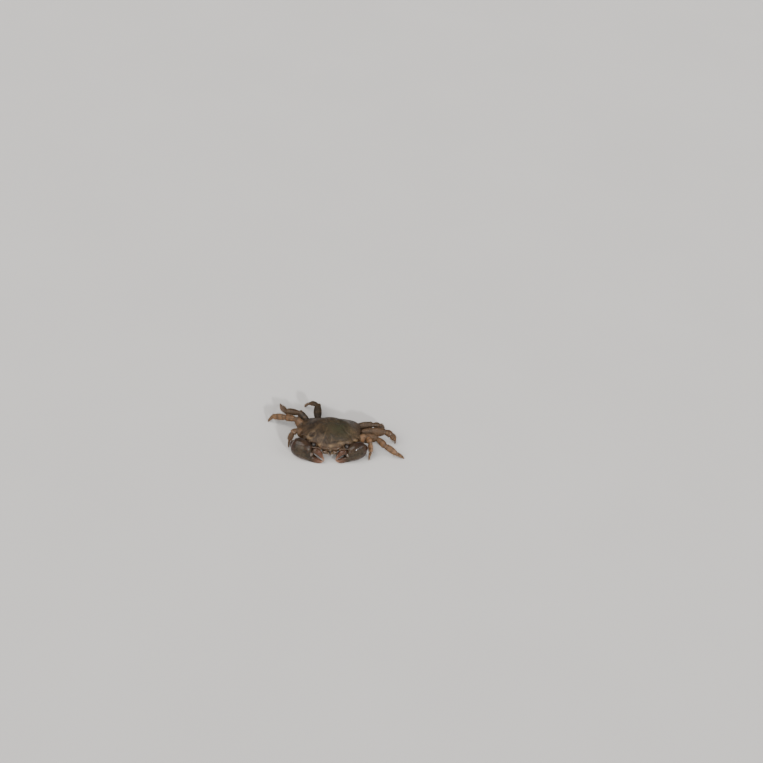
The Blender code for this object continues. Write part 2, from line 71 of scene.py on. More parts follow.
# Grooves between the back's regions: points, width and depth, repeated on both sides
GROOVES = [
    ([(1.3, 0.9), (2.4, 0.4), (3.6, -0.9), (4.6, -2.3), (5.9, -3.2)], 0.32, 0.13),
    ([(1.5, 0.9), (1.9, 2.0), (1.7, 3.2), (2.3, 4.4)], 0.3, 0.17),
    ([(0.0, 1.0), (1.4, 0.95)], 0.26, 0.1),
    ([(0.0, -7.6), (0.0, -4.4)], 0.2, 0.09),
    ([(0.9, -6.9), (1.6, -5.8), (3.0, -5.3), (4.2, -5.1)], 0.24, 0.08),
    ([(5.2, -0.6), (7.2, -1.3), (8.3, -2.2)], 0.22, 0.06),
    ([(5.2, 4.2), (7.0, 3.4), (8.5, 2.9)], 0.22, 0.06),
]
FAINT_FROM = -3.0  # the x beyond which the grooves show only a share of their depth, on the crab's right
FAINT_SIDE = 0.45
# Paler and darker marks on the back: x, y, radius and strength. The pale spots along the front, at its
# middle, beside it and at its outer corners, are painted highlights
MARKS_AND_HIGHLIGHTS = [
    (-8.3, 3.0, 0.9, 0.4), (-8.4, 0.5, 0.7, 0.35), (-6.6, -4.4, 0.5, 0.35), (-3.4, -6.7, 0.55, 0.45),
    (0.25, -6.95, 0.55, 0.6), (7.9, -4.0, 0.6, 0.45), (3.1, -6.0, 1.1, 0.22),
    (-7.6, -2.6, 0.7, 0.25), (6.9, -1.2, 2.6, 0.34), (2.2, -3.4, 0.7, -0.4),
    (-5.5, -3.65, 0.34, -0.3), (-5.9, -3.1, 0.34, -0.25), (-3.1, -2.6, 1.3, -0.35), (3.6, -4.4, 0.5, -0.3),
    (0.0, 2.5, 2.6, -0.15),
]
# Pale lines along the front ridge, partly pale shell and partly painted highlight; a painted highlight along
# a faint ridge beside the middle; and a dark line of painted shade in the slit behind the front: points,
# width and strength
PALE_AND_PAINTED_LIGHT_LINES = [
    ([(-8.4, -2.6), (-6.6, -4.4), (-5.3, -5.6), (-3.4, -6.6), (-0.3, -6.9)], 0.34, 0.26),
    ([(0.9, -6.9), (3.0, -6.1), (6.1, -4.7), (8.1, -3.8)], 0.38, 0.26),
    ([(-1.2, -1.6), (-1.5, -3.0), (-1.9, -4.4), (-2.7, -6.0)], 0.24, 0.36),
    ([(0.35, -6.2), (1.4, -6.0)], 0.3, -0.8),
]
PALE_RING = (-5.75, -3.4, 1.2, 0.42, 0.36)  # x, y, radius, width and strength
RING_LENGTH = 1.15  # how much shorter the pale ring is from front to rear
GREEN_PATCH = (2.6, -1.2, 3.6)  # x, y and radius of the greener middle of the back
GREEN_WIDTH = 0.7  # below 1 it is wider than it is long

# How the edge bends down towards the front and the rear: way, where it begins, over what length, and how far
EDGE_DROPS = [(-1, 5.4, 2.6, 0.8), (1, 2.0, 6.0, 0.6)]
# Short raised lines of granules across the outer front of the back: where, how high, how close and how wavy
FINE_LINES_ZONE = [(5.6, 2.4), (-3.2, 2.2)]
FINE_LINES_HEIGHT = 0.035
FINE_LINES_PER_MM = 1.5
FINE_LINES_SLANT = 0.16
FINE_LINES_WAVE = (1.5, 2.1)

# The back is rings from its crown to its edge, closer together near the edge
OUTLINE_STEPS = 10
TEETH_WEAR = 12  # how smooth the outline is from which the teeth rise
BACK_RINGS = 130
FIRST_RING = 0.015
RING_CROWDING = 1.5
# Powers of the share of the way out: how the crown falls, how the teeth begin, how the edge bends down
CROWN_FALL = 2.5
TOOTH_RISE = 10
EDGE_BEND = 3
# How fast each kind of relief fades out at the edge, and what the grooves keep there
RELIEF_FADE = 3
GROOVE_FADE = 5
GROOVE_AT_EDGE = 0.25
LINES_FADE = 8
# The bead along the front and sides, and the furrow inside it: share of the way out, width and height
EDGE_BEADS = [(0.985, 0.01, 0.1), (0.955, 0.012, -0.05)]
BEAD_END = (3.0, 1.5)  # where the bead dies out towards the rear, and how sharply
# The paler rim: where on the way out it begins, how sharply it comes in, what is left of it behind the front,
# and where the front ends and how sharply
PALE_RIM_START = 0.72
PALE_RIM_FADE = 2.2
PALE_RIM_SIDES = 0.35
PALE_RIM_END = (-5.2, 1.3)
# The fold under the edge: share of the outline and drop
UNDER_EDGE = [(1.002, 0.05), (1.0, 0.15), (0.994, 0.28), (0.985, 0.4), (0.972, 0.52), (0.955, 0.64),
              (0.935, 0.74), (0.9, 0.86), (0.8, 0.98), (0.5, 1.05)]
UNDER_RIM = 0.7  # the shares of the edge's pale rim and marks that are left on the fold
UNDER_MARKS = 0.5

# Rings of the body under the shell: shares of the shell's width and length, and drop under its roof
FLANKS = [(0.86, 0.9, -0.15), (0.88, 0.91, 0.6), (0.82, 0.87, 1.2), (0.7, 0.78, 1.8)]
# Its rings near the floor: half width, half length and rise over the sternum
STERNUM = [(5.4, 5.1, 0.35), (4.6, 4.4, 0.0)]
STERNUM_MIDDLE = 0.4
BODY_SQUARENESS = 2.8
STERNUM_SEAMS = (-3.3, -1.1, 1.1, 3.1, 4.6)
STERNUM_SEAM_WIDTH = 0.13
STERNUM_SEAM_DEPTH = 0.16
STERNUM_SEAM_BEND = 0.03
STERNUM_SEAM_TURN = (3.0, 0.5)  # the x beyond which the seams bend, and the y that they bend away from
STERNUM_SEAM_START = (1.2, 0.5)  # how far the seams stay clear of the middle line, and fade in
SEAM_CEILING = (2.6, 1.2)  # no seams above this height, and full ones this far below it
STERNUM_RINGS = (0.96, 0.04, 40)  # first and last share of its width, and number of rings between
FLANK_START = 1.3  # the darker mottling begins at this height, and is full this much higher
FLANK_FADE = 1.2

# Points round each surface, and rings along it
MESH = {
    "thorax": (180, 60), "abdomen": (64, 220), "leg": (32, 44), "coxa": (28, 24), "skin": (24, 12),
    "arm": (40, 40), "wrist": (44, 40), "palm": (96, 170), "finger": (72, 110), "tooth": (14, 14),
    "sac": (40, 40), "stalk": (32, 30), "cornea": (40, 36), "plate": (48, 46), "branch": (16, 60),
    "feeler": (14, 120),
}
STEEPEST_MITRE = 0.3  # the least cosine between a segment and the plane of its end
RIB_END = 0.02  # how the ribs of a segment fade in and out along it
RIB_FULLNESS = 0.6
# How far each surface wanders from its plain form, how finely, and a seed
UNEVEN = {
    "carapace": (0.025, 1.6, 3.1), "thorax": (0.03, 1.3, 5.7), "abdomen": (0.05, 1.8, 6.3),
    "coxa": (0.05, 1.5, 8.0), "arm": (0.05, 1.4, 1.0), "wrist": (0.06, 1.3, 4.0), "stalk": (0.03, 2.0, 1.0),
    "mouth": (0.03, 2.2, 4.4), "sac": (0.22, 1.6, 3.3), "palm": (0.07, 0.9, 6.0), "finger": (0.04, 1.3, 9.0),
    "leg": (0.035, 1.7, 2.0),
}

# Each leg's root, its three joints and its tip, as if on the left side
LEFT_LEGS = {
    "leg1_left": [(5.6, -1.8, 2.6), (11.2, -1.8, 5.2), (12.3, -3.4, 4.7), (12.7, -5.4, 2.6),
                  (12.3, -6.6, 0.0)],
    "leg2_left": [(6.2, 0.0, 2.6), (14.2, -1.2, 4.5), (17.0, -3.7, 4.0), (20.6, -5.1, 2.2),
                  (23.4, -4.9, 0.0)],
    "leg3_left": [(6.2, 2.2, 2.6), (16.8, 1.9, 4.5), (18.9, 1.4, 3.9), (20.3, 1.2, 2.2),
                  (20.6, 1.6, 0.0)],
    "leg4_left": [(5.0, 4.4, 2.6), (13.0, 4.9, 4.4), (15.2, 5.2, 3.8), (16.7, 6.5, 2.0),
                  (17.1, 7.6, 0.0)],
}
RIGHT_LEGS = {
    "leg1_right": [(5.6, -1.7, 2.6), (10.5, -0.3, 5.1), (11.8, -1.0, 4.6), (12.7, -2.0, 2.5),
                   (12.9, -2.7, 0.0)],
    "leg2_right": [(6.2, 0.6, 2.6), (11.0, 5.2, 4.5), (14.2, 6.6, 3.9), (18.4, 8.1, 2.5),
                   (19.9, 8.3, 0.0)],
    "leg3_right": [(5.4, 3.0, 2.6), (10.1, 8.3, 4.5), (14.1, 9.2, 3.9), (16.0, 12.7, 2.3),
                   (16.5, 16.6, 0.0)],
    "leg4_right": [(3.9, 4.8, 2.6), (4.6, 12.2, 4.7), (6.5, 13.7, 4.1), (7.9, 15.0, 2.2),
                   (8.5, 16.1, 0.0)],
}
LEG_SIZE = {"leg1": 0.95, "leg2": 1.05, "leg3": 1.05, "leg4": 0.9}
# How pale each leg is, at its root and at its tip: partly each leg's own tone, partly painted shade, darker
# towards the roots under the shell and darkest at the roots of the two right hind legs
LEG_TONES_AND_SHADE = {
    "leg1_left": (0.75, 0.95), "leg2_left": (0.45, 0.7), "leg3_left": (0.35, 0.5), "leg4_left": (0.15, 0.4),
    "leg1_right": (0.35, 0.55), "leg2_right": (0.5, 0.65), "leg3_right": (-0.1, 0.65),
    "leg4_right": (-0.25, 0.6),
}
# Which way the upper margins of the legs lean, and of the one leg that trails behind
LEG_LEAN = (0.0, 0.6, 0.8)
TRAILING_LEAN = (0.95, 0.1, 0.3)
TRAILING_LEG = "leg4_right"
# Share of the way along, half breadth and half thickness
MERUS = [(0.0, 0.6, 0.52), (0.05, 0.85, 0.66), (0.14, 0.94, 0.67), (0.35, 1.26, 0.73), (0.6, 1.4, 0.75),
         (0.82, 1.28, 0.72), (0.94, 1.12, 0.68), (1.0, 1.02, 0.62)]
CARPUS = [(0.0, 0.42, 0.36), (0.05, 0.62, 0.48), (0.2, 0.78, 0.58), (0.45, 0.95, 0.68), (0.75, 1.05, 0.71),
          (0.92, 1.02, 0.66), (1.0, 0.94, 0.6)]
PROPODUS = [(0.0, 0.46, 0.36), (0.05, 0.66, 0.46), (0.16, 0.82, 0.54), (0.5, 0.92, 0.55), (0.85, 0.78, 0.48),
            (0.96, 0.7, 0.44), (1.0, 0.62, 0.4)]
DACTYL = [(0.0, 0.36, 0.3), (0.05, 0.5, 0.38), (0.12, 0.54, 0.4), (0.5, 0.42, 0.34), (0.8, 0.27, 0.24),
          (0.94, 0.15, 0.14), (1.0, 0.05, 0.05)]
COXA = [(0.0, 0.7, 0.65), (0.2, 1.0, 0.9), (0.6, 1.05, 0.92), (0.85, 0.95, 0.84), (1.0, 0.7, 0.62)]
COXA_LENGTH = 2.3
COXA_START = 0.1  # how far from the leg's root the coxa begins, and the upper segment
MERUS_START = 1.9
COXA_FLANK = 0.35  # how dark its mottling is
COXA_SKIN = (0.72, 0.6)  # half breadth and half thickness
# The four segments: sections, bow, ribs and spines as segment() reads them, rows and length of the hairs,
# and how many rings lie from one hair to the next
LEG_PARTS = {
    "merus": (MERUS, 0.0, [(90, 13, 0.11), (270, 16, 0.05), (38, 18, -0.04), (142, 18, -0.04)],
              [(0.93, 90, 12, 0.022, 0.2)], 1, 0.26, 3),
    "carpus": (CARPUS, 0.12, [(90, 14, 0.07), (30, 14, 0.04), (150, 14, 0.04), (60, 14, -0.03)],
               [], 1, 0.3, 3),
    "propodus": (PROPODUS, 0.1, [(90, 12, 0.05), (270, 12, 0.05), (0, 24, -0.06), (180, 24, -0.06)],
                 [], 2, 0.5, 2),
    "dactyl": (DACTYL, 0.16, [(90, 14, 0.03), (270, 14, 0.03), (0, 20, -0.05), (180, 20, -0.05)],
               [], 3, 0.42, 2),
}
# The tone turns from the root's to the tip's by this share with each segment, after a start
LEG_TONE_RISE = 0.4
LEG_TONE_START = 0.2
SKIN_SHARE = 0.86  # the soft skin's thickness in a joint, as a share of the hard segment's end
# Share of the skin's length, and of its full width
SKIN_BULGE = [(0.0, 0.5), (0.2, 0.9), (0.5, 1.0), (0.8, 0.9), (1.0, 0.5)]
# The inturned end of a segment: share of its width, and depth
LIP = [(0.97, -0.03), (0.92, -0.02), (0.82, 0.03), (0.7708, 0.14), (0.4, 0.14)]
# The hairs are three-sided: share of the length, and of the radius
HAIR_RINGS = ((-0.08, 1.0), (0.45, 0.75))
HAIR_RADIUS = 0.028
HAIR_DROOP = 0.08  # how far a hair's tip hangs, as a share of its length
HAIR_UP = (0.3, 0.2, 0.93)
MARGINS = (0.25, 0.75)  # where the upper and the lower margin are, as shares of the way round
HAIR_ROW_SPREAD = 0.0595  # from one row of hairs to the next, as a share of the way round
HAIR_FLOOR = 0.5  # no hairs below this height
HAIR_ENDS = (6, 4)  # rings without hairs at a segment's near and far end
HAIR_SPLAY = (0.75, 1.25)  # least and most that a hair stands out, against how far it points down the leg
HAIR_FORWARD = 0.85
HAIR_WANDER = 0.22
HAIR_LENGTHS = (0.6, 1.15)  # shortest and longest, as shares
BAND_SHIFT = 0.37  # of the leg's dark bands, from one segment to the next

CLAWS = {
    "left": {"root": (4.0, -4.0, 2.6), "elbow": (8.9, -4.2, 2.7), "wrist": (11.0, -5.0, 3.8),
             "heading": (-0.9, -0.36, -0.17), "size": 0.81},
    "right": {"root": (4.0, -4.0, 2.6), "elbow": (9.6, -4.2, 2.7), "wrist": (11.7, -5.15, 3.9),
              "heading": (-0.9, -0.35, -0.17), "size": 0.89},
}
PALM_LEAN = (0.0, 0.1, 1.0)  # the way up a palm
# Distance from the wrist, height of the middle, half height and half thickness
PALM = [(-0.15, 0.2, 0.7, 0.7), (0.0, 0.2, 1.6, 1.3), (0.6, 0.15, 2.8, 1.95), (2.0, 0.05, 3.6, 2.35),
        (4.1, 0.0, 3.85, 2.5), (6.0, -0.1, 3.5, 2.3), (7.1, -0.45, 3.0, 2.0), (7.75, -1.4, 2.0, 1.6),
        (8.5, -1.9, 1.35, 1.2), (9.8, -2.0, 1.1, 0.95), (11.2, -1.75, 0.75, 0.7), (12.0, -1.4, 0.42, 0.42),
        (12.35, -1.2, 0.12, 0.14)]
FINGER = [(7.25, 1.2, 0.45, 0.45), (7.5, 1.4, 0.95, 0.9), (8.05, 1.75, 1.15, 1.0), (8.7, 1.9, 1.17, 1.0),
          (9.8, 1.75, 1.05, 0.88), (10.9, 1.1, 0.8, 0.7), (11.8, 0.25, 0.52, 0.47), (12.35, -0.35, 0.3, 0.3),
          (12.62, -0.75, 0.08, 0.1)]
# Degrees round the finger and height
FINGER_RIBS = [(90, 0.07), (62, -0.08), (38, 0.06), (15, -0.08), (118, -0.08), (142, 0.06), (165, -0.08)]
# Distance from the wrist and radius
FINGER_TEETH = [(8.9, 0.3), (9.35, 0.42), (9.85, 0.36), (10.3, 0.38), (10.75, 0.3), (11.15, 0.28),
                (11.55, 0.2)]
# Share of the way along, half breadth and half thickness
ARM = [(0.0, 0.7, 0.7), (0.1, 1.05, 1.05), (0.4, 1.35, 1.3), (0.8, 1.5, 1.45), (1.0, 1.15, 1.1)]
WRIST_LUMP = [(0.0, 0.5, 0.5), (0.08, 1.0, 0.95), (0.25, 1.55, 1.4), (0.6, 1.66, 1.5), (0.85, 1.38, 1.28),
              (1.0, 0.75, 0.75)]
WRIST_START = 0.1  # how far beyond the elbow the lump begins, and how far it reaches, as a share
WRIST_REACH = 1.2
# The wrist's spine: share of the way, degrees from the top, width in degrees, reach and height
WRIST_SPINE = (0.6, 30, 16, 0.1, 0.22)
ARM_RIBS = [(60, 16, 0.08), (120, 16, 0.08)]  # degrees, width in degrees and height
# Ribs and furrows of the palm: degrees from its lower outer edge, width, height, and where they begin and end
PALM_RIBS = [(0, 9, 0.09, 4.0, 12.0), (14, 8, -0.06, 6.5, 12.0), (-16, 8, -0.07, 8.0, 12.2),
             (-32, 9, 0.05, 8.3, 12.2)]
PALM_LOWER_EDGE = 25  # degrees under the level
PALM_SQUARENESS = 2.2
RIB_FADE = 0.8  # length of the ends over which a rib fades in and out
FINGER_RIB_WIDTH = 9
FINGER_RIBS_REACH = (7.9, 12.3)
CLAW_LENGTH = 12.35
EDGE_SHADE_DEPTH = 3.4  # how far above and below the middle the claw's edges have their full shade
UPPER_EDGE_SHADE = 0.3
WRIST_SHADE = 0.6  # how strong the shade is at the wrist, and how far it reaches
WRIST_SHADE_REACH = 2.2
# A tooth: share of its height, half breadth and half thickness, as shares of its radius
TOOTH = [(0.0, 1.0, 1.0), (0.4, 0.95, 0.9), (0.75, 0.68, 0.62), (0.95, 0.32, 0.3), (1.0, 0.1, 0.1)]
TOOTH_UP = (0.3, 1.0, 0.1)  # which way its breadth lies
# The teeth's width, height and level, how the level changes beyond a distance, and their shift
FIXED_TEETH = (0.85, 0.62, -0.98, -0.12, 10.5, 0.0)
MOVING_TEETH = (0.75, 0.6, 0.72, -0.42, 9.3, 0.25)
# The soft sac between the fingers' roots
SAC = [(0.0, 0.2, 0.2), (0.08, 0.5, 0.5), (0.3, 0.8, 0.76), (0.55, 0.88, 0.82), (0.8, 0.66, 0.62),
       (0.95, 0.34, 0.34), (1.0, 0.12, 0.12)]
SAC_HALF_LENGTH = 0.78
# Places from the wrist: ahead, raised, and towards the palm's outer face
SAC_PLACE = (7.45, 0.3, 0.72)
WRIST_SKIN_PLACE = (0.8, 0.0, -0.9)
WRIST_SKIN = (1.1, 1.1, 1.2)  # half breadth, half thickness and length
ELBOW_SKIN = (1.1, 1.05, 0.7)
FINGER_PALE_START = 0.12  # how far along the palm's colours the moving finger's root is

# Of the level body, as if on the left side
EYE_POINTS = [(3.2, -5.9, -1.4), (4.5, -6.4, -0.5), (5.8, -6.35, -0.1)]
ANTENNA = [(2.9, -6.8, -1.3), (3.2, -7.5, -0.6), (3.8, -8.1, 0.1), (4.7, -8.6, 0.6), (5.8, -8.9, 0.9)]
ANTENNA_RADII = [0.45, 0.4, 0.2, 0.14, 0.05]
ANTENNULE = [(1.0, -7.0, -1.5), (1.25, -7.7, -1.45), (1.7, -8.05, -1.4), (2.2, -8.0, -1.45)]
ANTENNULE_RADII = [0.4, 0.42, 0.3, 0.14]
FEELER_BEAD = 0.045  # height of the whip's beads, as a share of its radius
# Share of the way along, half breadth and half thickness
STALK = [(0.0, 0.4, 0.4), (0.3, 0.46, 0.46), (0.6, 0.5, 0.5), (0.85, 0.6, 0.6), (0.97, 0.62, 0.6),
         (1.0, 0.55, 0.55)]
CORNEA = [(0.0, 0.45, 0.42), (0.06, 0.6, 0.56), (0.2, 0.7, 0.66), (0.45, 0.76, 0.72), (0.7, 0.68, 0.64),
          (0.88, 0.45, 0.42), (0.97, 0.2, 0.19), (1.0, 0.05, 0.05)]
# How far each bows, and how far beyond the neck the stalk ends and the cornea begins
STALK_BOW = 0.08
STALK_END = 0.12
CORNEA_BOW = 0.05
CORNEA_START = 0.1
# Along the tail flap: y, half width and level of its underside
ABDOMEN = [(-2.6, 0.42, 0.22), (-2.45, 0.62, 0.08), (-2.2, 0.75, 0.0), (-1.0, 1.1, 0.0), (0.4, 1.3, 0.0),
           (2.0, 1.6, 0.0), (3.6, 1.8, 0.0), (5.0, 2.0, 0.0), (5.7, 2.15, 0.35), (6.2, 2.3, 0.95),
           (6.6, 2.45, 1.75), (6.9, 2.5, 2.6), (7.0, 2.4, 3.3)]
ABDOMEN_THICKNESS = 1.0
ABDOMEN_SEAMS = [1.3, 2.7, 4.1, 5.6, 7.0, 8.2, 9.3, 10.3]  # measured along the flap from its tip
SEAM_WIDTH = 0.09
SEAM_DEPTH = 0.16
SEAM_STEP = 0.12  # how far the seams stand in where the flap is steep
FLAP_SQUARENESS = 2.5
# How dark the flap's mottling becomes as it rises behind, from which height, and over what height
FLAP_FLANK = 0.8
FLAP_FLANK_START = 0.5
FLAP_FLANK_FADE = 1.4
FLAP_ARCH = 0.28  # how far the flap's sides bend in towards the body

# Rows of level, inner and outer edge, front face and half depth
LOWER_PLATE = [(-4.1, 0.75, 1.25, -6.0, 0.2), (-4.02, 0.6, 1.5, -6.15, 0.32), (-3.7, 0.42, 1.85, -6.55, 0.42),
               (-3.3, 0.34, 2.0, -6.85, 0.44), (-3.05, 0.36, 2.0, -6.95, 0.4), (-2.97, 0.5, 1.85, -6.9, 0.24)]
UPPER_PLATE = [(-2.93, 0.5, 1.9, -6.95, 0.24), (-2.86, 0.38, 2.12, -7.05, 0.38),
               (-2.55, 0.42, 2.3, -7.2, 0.42), (-2.2, 0.55, 2.3, -7.25, 0.4),
               (-2.0, 0.7, 2.05, -7.2, 0.34), (-1.9, 0.95, 1.6, -7.1, 0.18)]
PLATE_SQUARENESS = 2.7
# The furrow down each plate: depth, and place and width as shares of the half width
PLATE_GROOVE = 0.1
PLATE_GROOVE_PLACE = -0.35
PLATE_GROOVE_WIDTH = 0.14
# Of the level body, as if on the left side
PALP = [(0.85, -7.3, -2.1), (0.5, -7.55, -2.2), (0.36, -7.6, -2.5), (0.4, -7.5, -2.75), (0.42, -7.3, -3.1)]
PALP_WIDTHS = [0.17, 0.23, 0.16, 0.19, 0.06]
BRANCH = [(2.15, -6.1, -3.9), (2.4, -6.6, -3.3), (2.52, -7.0, -2.7), (2.5, -7.25, -2.05)]
BRANCH_WIDTHS = [0.2, 0.23, 0.2, 0.1]
MOUTH_HAIRS = 22
MOUTH_HAIR_LEVELS = (-3.85, -2.1)
MOUTH_HAIR_ROW = (0.5, -7.8, -0.25)  # x, y at level 0, and how y changes with the level
MOUTH_HAIR_LENGTH = 0.42
MOUTH_HAIR_LENGTHS = (0.6, 1.1)  # shortest and longest, as shares
MOUTH_HAIR_LEAN = (-0.9, -0.55)  # towards the middle and forwards
MOUTH_HAIR_WANDER = 0.2
MOUTH_HAIR_RISE = (-0.5, 0.2)  # least and most

# The camera's place, from the photo: turn, height above the horizon, roll, and where the shell's front is
PHOTO_SIZE = 763
VIEW_YAW = radians(-4)
VIEW_ELEVATION = radians(42)
VIEW_ROLL = radians(6)
PIXELS_PER_MM = 3.25
SHELL_FRONT = (0.0, -7.7, 4.8)
FRONT_PIXEL = (330, 450)
CAMERA_DISTANCE = 450.0
SENSOR_WIDTH = 36.0
CAMERA_REACH = (0.01, 100.0)  # nearest and farthest that it sees, in metres
FLOOR_SIZE = 60.0  # in metres

# The surround's colour at the level of the floor and higher up, and how high the fade between them ends
HORIZON = (1.05, 1.02, 0.98, 1.0)
OVERHEAD = (0.297, 0.31, 0.33, 1.0)
HORIZON_HEIGHT = 0.06
# Each light's name, the way to it, the degrees that it spans, its strength and its colour
LIGHTS = [
    ("key_light", (-0.42, -0.3, 0.68), 56, 3.1, (1.0, 0.97, 0.93)),
    ("fill_light", (0.6, -0.25, 0.5), 34, 1.04, (0.97, 0.98, 1.0)),
    ("sheen_light", (-0.46, -0.76, 0.16), 31, 0.7, (0.9, 1.0, 0.94)),
    ("sparkle_light", (0.3, -0.6, 0.3), 4, 2.9, (1.0, 1.0, 1.0)),
]

# Colours in linear light
BACK = {
    "dark": (0.019, 0.0125, 0.0078), "light": (0.06, 0.0385, 0.022), "fleck": (0.12, 0.07, 0.032),
    "green": (0.033, 0.032, 0.017), "rim": (0.07, 0.038, 0.021), "pale": (0.18, 0.12, 0.066),
    "blotch_and_shade": (0.012, 0.008, 0.004), "dot": (0.035, 0.011, 0.008), "speck": (0.15, 0.1, 0.055),
    "vein": (0.012, 0.009, 0.005), "grain": (0.5, 0.42, 0.3),
}
CLAW = {
    "dark": (0.012, 0.0095, 0.0052), "light": (0.036, 0.025, 0.0138), "edge": (0.046, 0.014, 0.009),
    "dot": (0.028, 0.009, 0.009), "fleck": (0.08, 0.056, 0.038), "finger": (0.073, 0.032, 0.018),
    "tip": (0.26, 0.148, 0.098), "grain": (0.5, 0.45, 0.4),
}
LEG = {
    "dark": (0.017, 0.012, 0.007), "tan": (0.146, 0.077, 0.037), "band": (0.04, 0.024, 0.012),
    "dot": (0.04, 0.018, 0.01), "fleck": (0.25, 0.152, 0.084), "horn": (0.13, 0.055, 0.02),
}
UNDERSIDE = {
    "dark": (0.12, 0.076, 0.04), "light": (0.24, 0.158, 0.09), "flank": (0.042, 0.025, 0.013),
    "dot": (0.07, 0.03, 0.016),
}
WET = {"Coat_Weight": 0.36, "Coat_Roughness": 0.07, "Coat_IOR": 1.38, "Specular_IOR_Level": 0.16}
DAMP = {"Coat_Weight": 0.1, "Coat_Roughness": 0.2, "Coat_IOR": 1.35, "Specular_IOR_Level": 0.18}
MOIST = {"Coat_Weight": 0.2, "Coat_Roughness": 0.15}


def smooth(table, shares):
    """Monotone curves through the table's rows, one for each column after the first, read at the shares."""
    rows = np.array(table, dtype=float)
    x = rows[:, 0]
    step = np.diff(x)
    place = np.clip(np.searchsorted(x, shares, side="right") - 1, 0, len(x) - 2)
    h = step[place]
    t = (shares - x[place]) / h
    curves = []
    for values in rows[:, 1:].T:
        slope = np.diff(values) / step
        before, after = slope[:-1], slope[1:]
        same_way = before * after > 0
        tangent = np.empty(len(x))
        tangent[0], tangent[-1] = slope[0], slope[-1]
        tangent[1:-1] = np.where(same_way, 2 * before * after / np.where(same_way, before + after, 1), 0)
        a, b = values[place], values[place + 1]
        leaving, arriving = tangent[place] * h, tangent[place + 1] * h
        curves.append((2 * t**3 - 3 * t**2 + 1) * a + (t**3 - 2 * t**2 + t) * leaving
                      + (3 * t**2 - 2 * t**3) * b + (t**3 - t**2) * arriving)
    return curves


def hill(away):
    """1 in the middle, falling off on both sides."""
    return np.exp(-(away**2))


def limited(value):
    """The value, kept between 0 and 1."""
    return np.clip(value, 0, 1)


def around(sides):
    """The angles of a ring's points, with their cosines and sines."""
    angles = 2 * pi * (np.arange(sides) + 0.5) / sides
    return angles, np.cos(angles), np.sin(angles)


def fuller(c, s, squareness):
    """How much further a squarish ring reaches than a round one, in each direction."""
    return (np.abs(c) ** squareness + np.abs(s) ** squareness) ** (-1 / squareness)


def degrees_from(angles, degrees):
    """How far round each angle is from a direction, between -180 and 180."""
    return (np.degrees(angles) - degrees + 180) % 360 - 180


def scaled(table, size):
    """The table with every column but the first scaled."""
    return [(row[0], *(value * size for value in row[1:])) for row in table]


def eased(count):
    """Shares from 0 to 1, closer together near both ends."""
    return 0.5 - 0.5 * np.cos(np.linspace(0, pi, count))


def refine(rings, count):
    """More rings, on smooth curves through the given ones."""
    rings = np.asarray(rings, dtype=float)
    table = np.column_stack([np.arange(len(rings)), rings.reshape(len(rings), -1)])
    columns = smooth(table, np.linspace(0, len(rings) - 1, count))
    return np.array(columns).T.reshape(count, rings.shape[1], 3)


def body(name, rings, finish, values=None):
    """A closed object through rings, with a fan over each end and named values at its points."""
    rings = np.asarray(rings, dtype=float)
    count, sides = rings.shape[:2]
    index = np.arange(count * sides).reshape(count, sides)
    turned = np.roll(index, -1, axis=1)
    quads = np.stack([index[:-1], turned[:-1], turned[1:], index[1:]], axis=-1).reshape(-1, 4)
    first, last = count * sides, count * sides + 1
    fans = [(turned[0][k], index[0][k], first) for k in range(sides)]
    fans += [(index[-1][k], turned[-1][k], last) for k in range(sides)]
    points = np.vstack([rings.reshape(-1, 3), rings[0].mean(0), rings[-1].mean(0)])
    mesh = bpy.data.meshes.new(name)
    mesh.from_pydata(points.tolist(), [], quads.tolist() + [tuple(int(v) for v in fan) for fan in fans])
    for label, field in (values or {}).items():
        spread = np.broadcast_to(np.asarray(field, dtype=float), (count, sides))
        flat = np.concatenate([spread.reshape(-1), [spread[0].mean(), spread[-1].mean()]])
        mesh.attributes.new(label, "FLOAT", "POINT").data.foreach_set("value", flat)
    return placed(name, mesh, finish)


def placed(name, mesh, finish):
    """Turns the faces outwards, scales the mesh from mm and gives it its finish."""
    worked = bmesh.new()
    worked.from_mesh(mesh)
    bmesh.ops.recalc_face_normals(worked, faces=worked.faces)
    bmesh.ops.scale(worked, vec=(MM, MM, MM), verts=worked.verts)
    worked.to_mesh(mesh)
    worked.free()
    mesh.materials.append(FINISHES[finish])
    mesh.shade_smooth()
    made = bpy.data.objects.new(name, mesh)
    bpy.context.scene.collection.objects.link(made)
    return made


def merged(name, pieces):
    """One object from several that share a finish."""
    worked = bmesh.new()
    for piece in pieces:
        worked.from_mesh(piece.data)
    mesh = bpy.data.meshes.new(name)
    worked.to_mesh(mesh)
    worked.free()
    mesh.materials.append(pieces[0].data.materials[0])
    for piece in pieces:
        bpy.data.objects.remove(piece, do_unlink=True)
    mesh.shade_smooth()
    made = bpy.data.objects.new(name, mesh)
    bpy.context.scene.collection.objects.link(made)
    return made


def dressed(piece, slot, *nodes):
    """Hands a finished piece to the frame, in place of its solids."""
    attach(piece, "root")
    if nodes:
        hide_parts(*nodes)
    return piece


def roughened(rings, kind, size=1.0, shift=0):
    """Rings whose points move out and in a little from their ring's middle, as grown shell does."""
    amount, scale, seed = UNEVEN[kind]
    seed += shift
    rings = np.asarray(rings, dtype=float)
    middles = rings.mean(axis=1, keepdims=True)
    outward = rings - middles
    outward /= np.maximum(np.linalg.norm(outward, axis=2, keepdims=True), 1e-6)
    apart = Vector((seed, 0.7 * seed, 0.3 * seed))
    waves = [noise.noise(Vector(point) * scale + apart) for point in rings.reshape(-1, 3)]
    return rings + outward * (amount * size * np.array(waves)).reshape(*rings.shape[:2], 1)


def unit(vector):
    return Vector(vector).normalized()


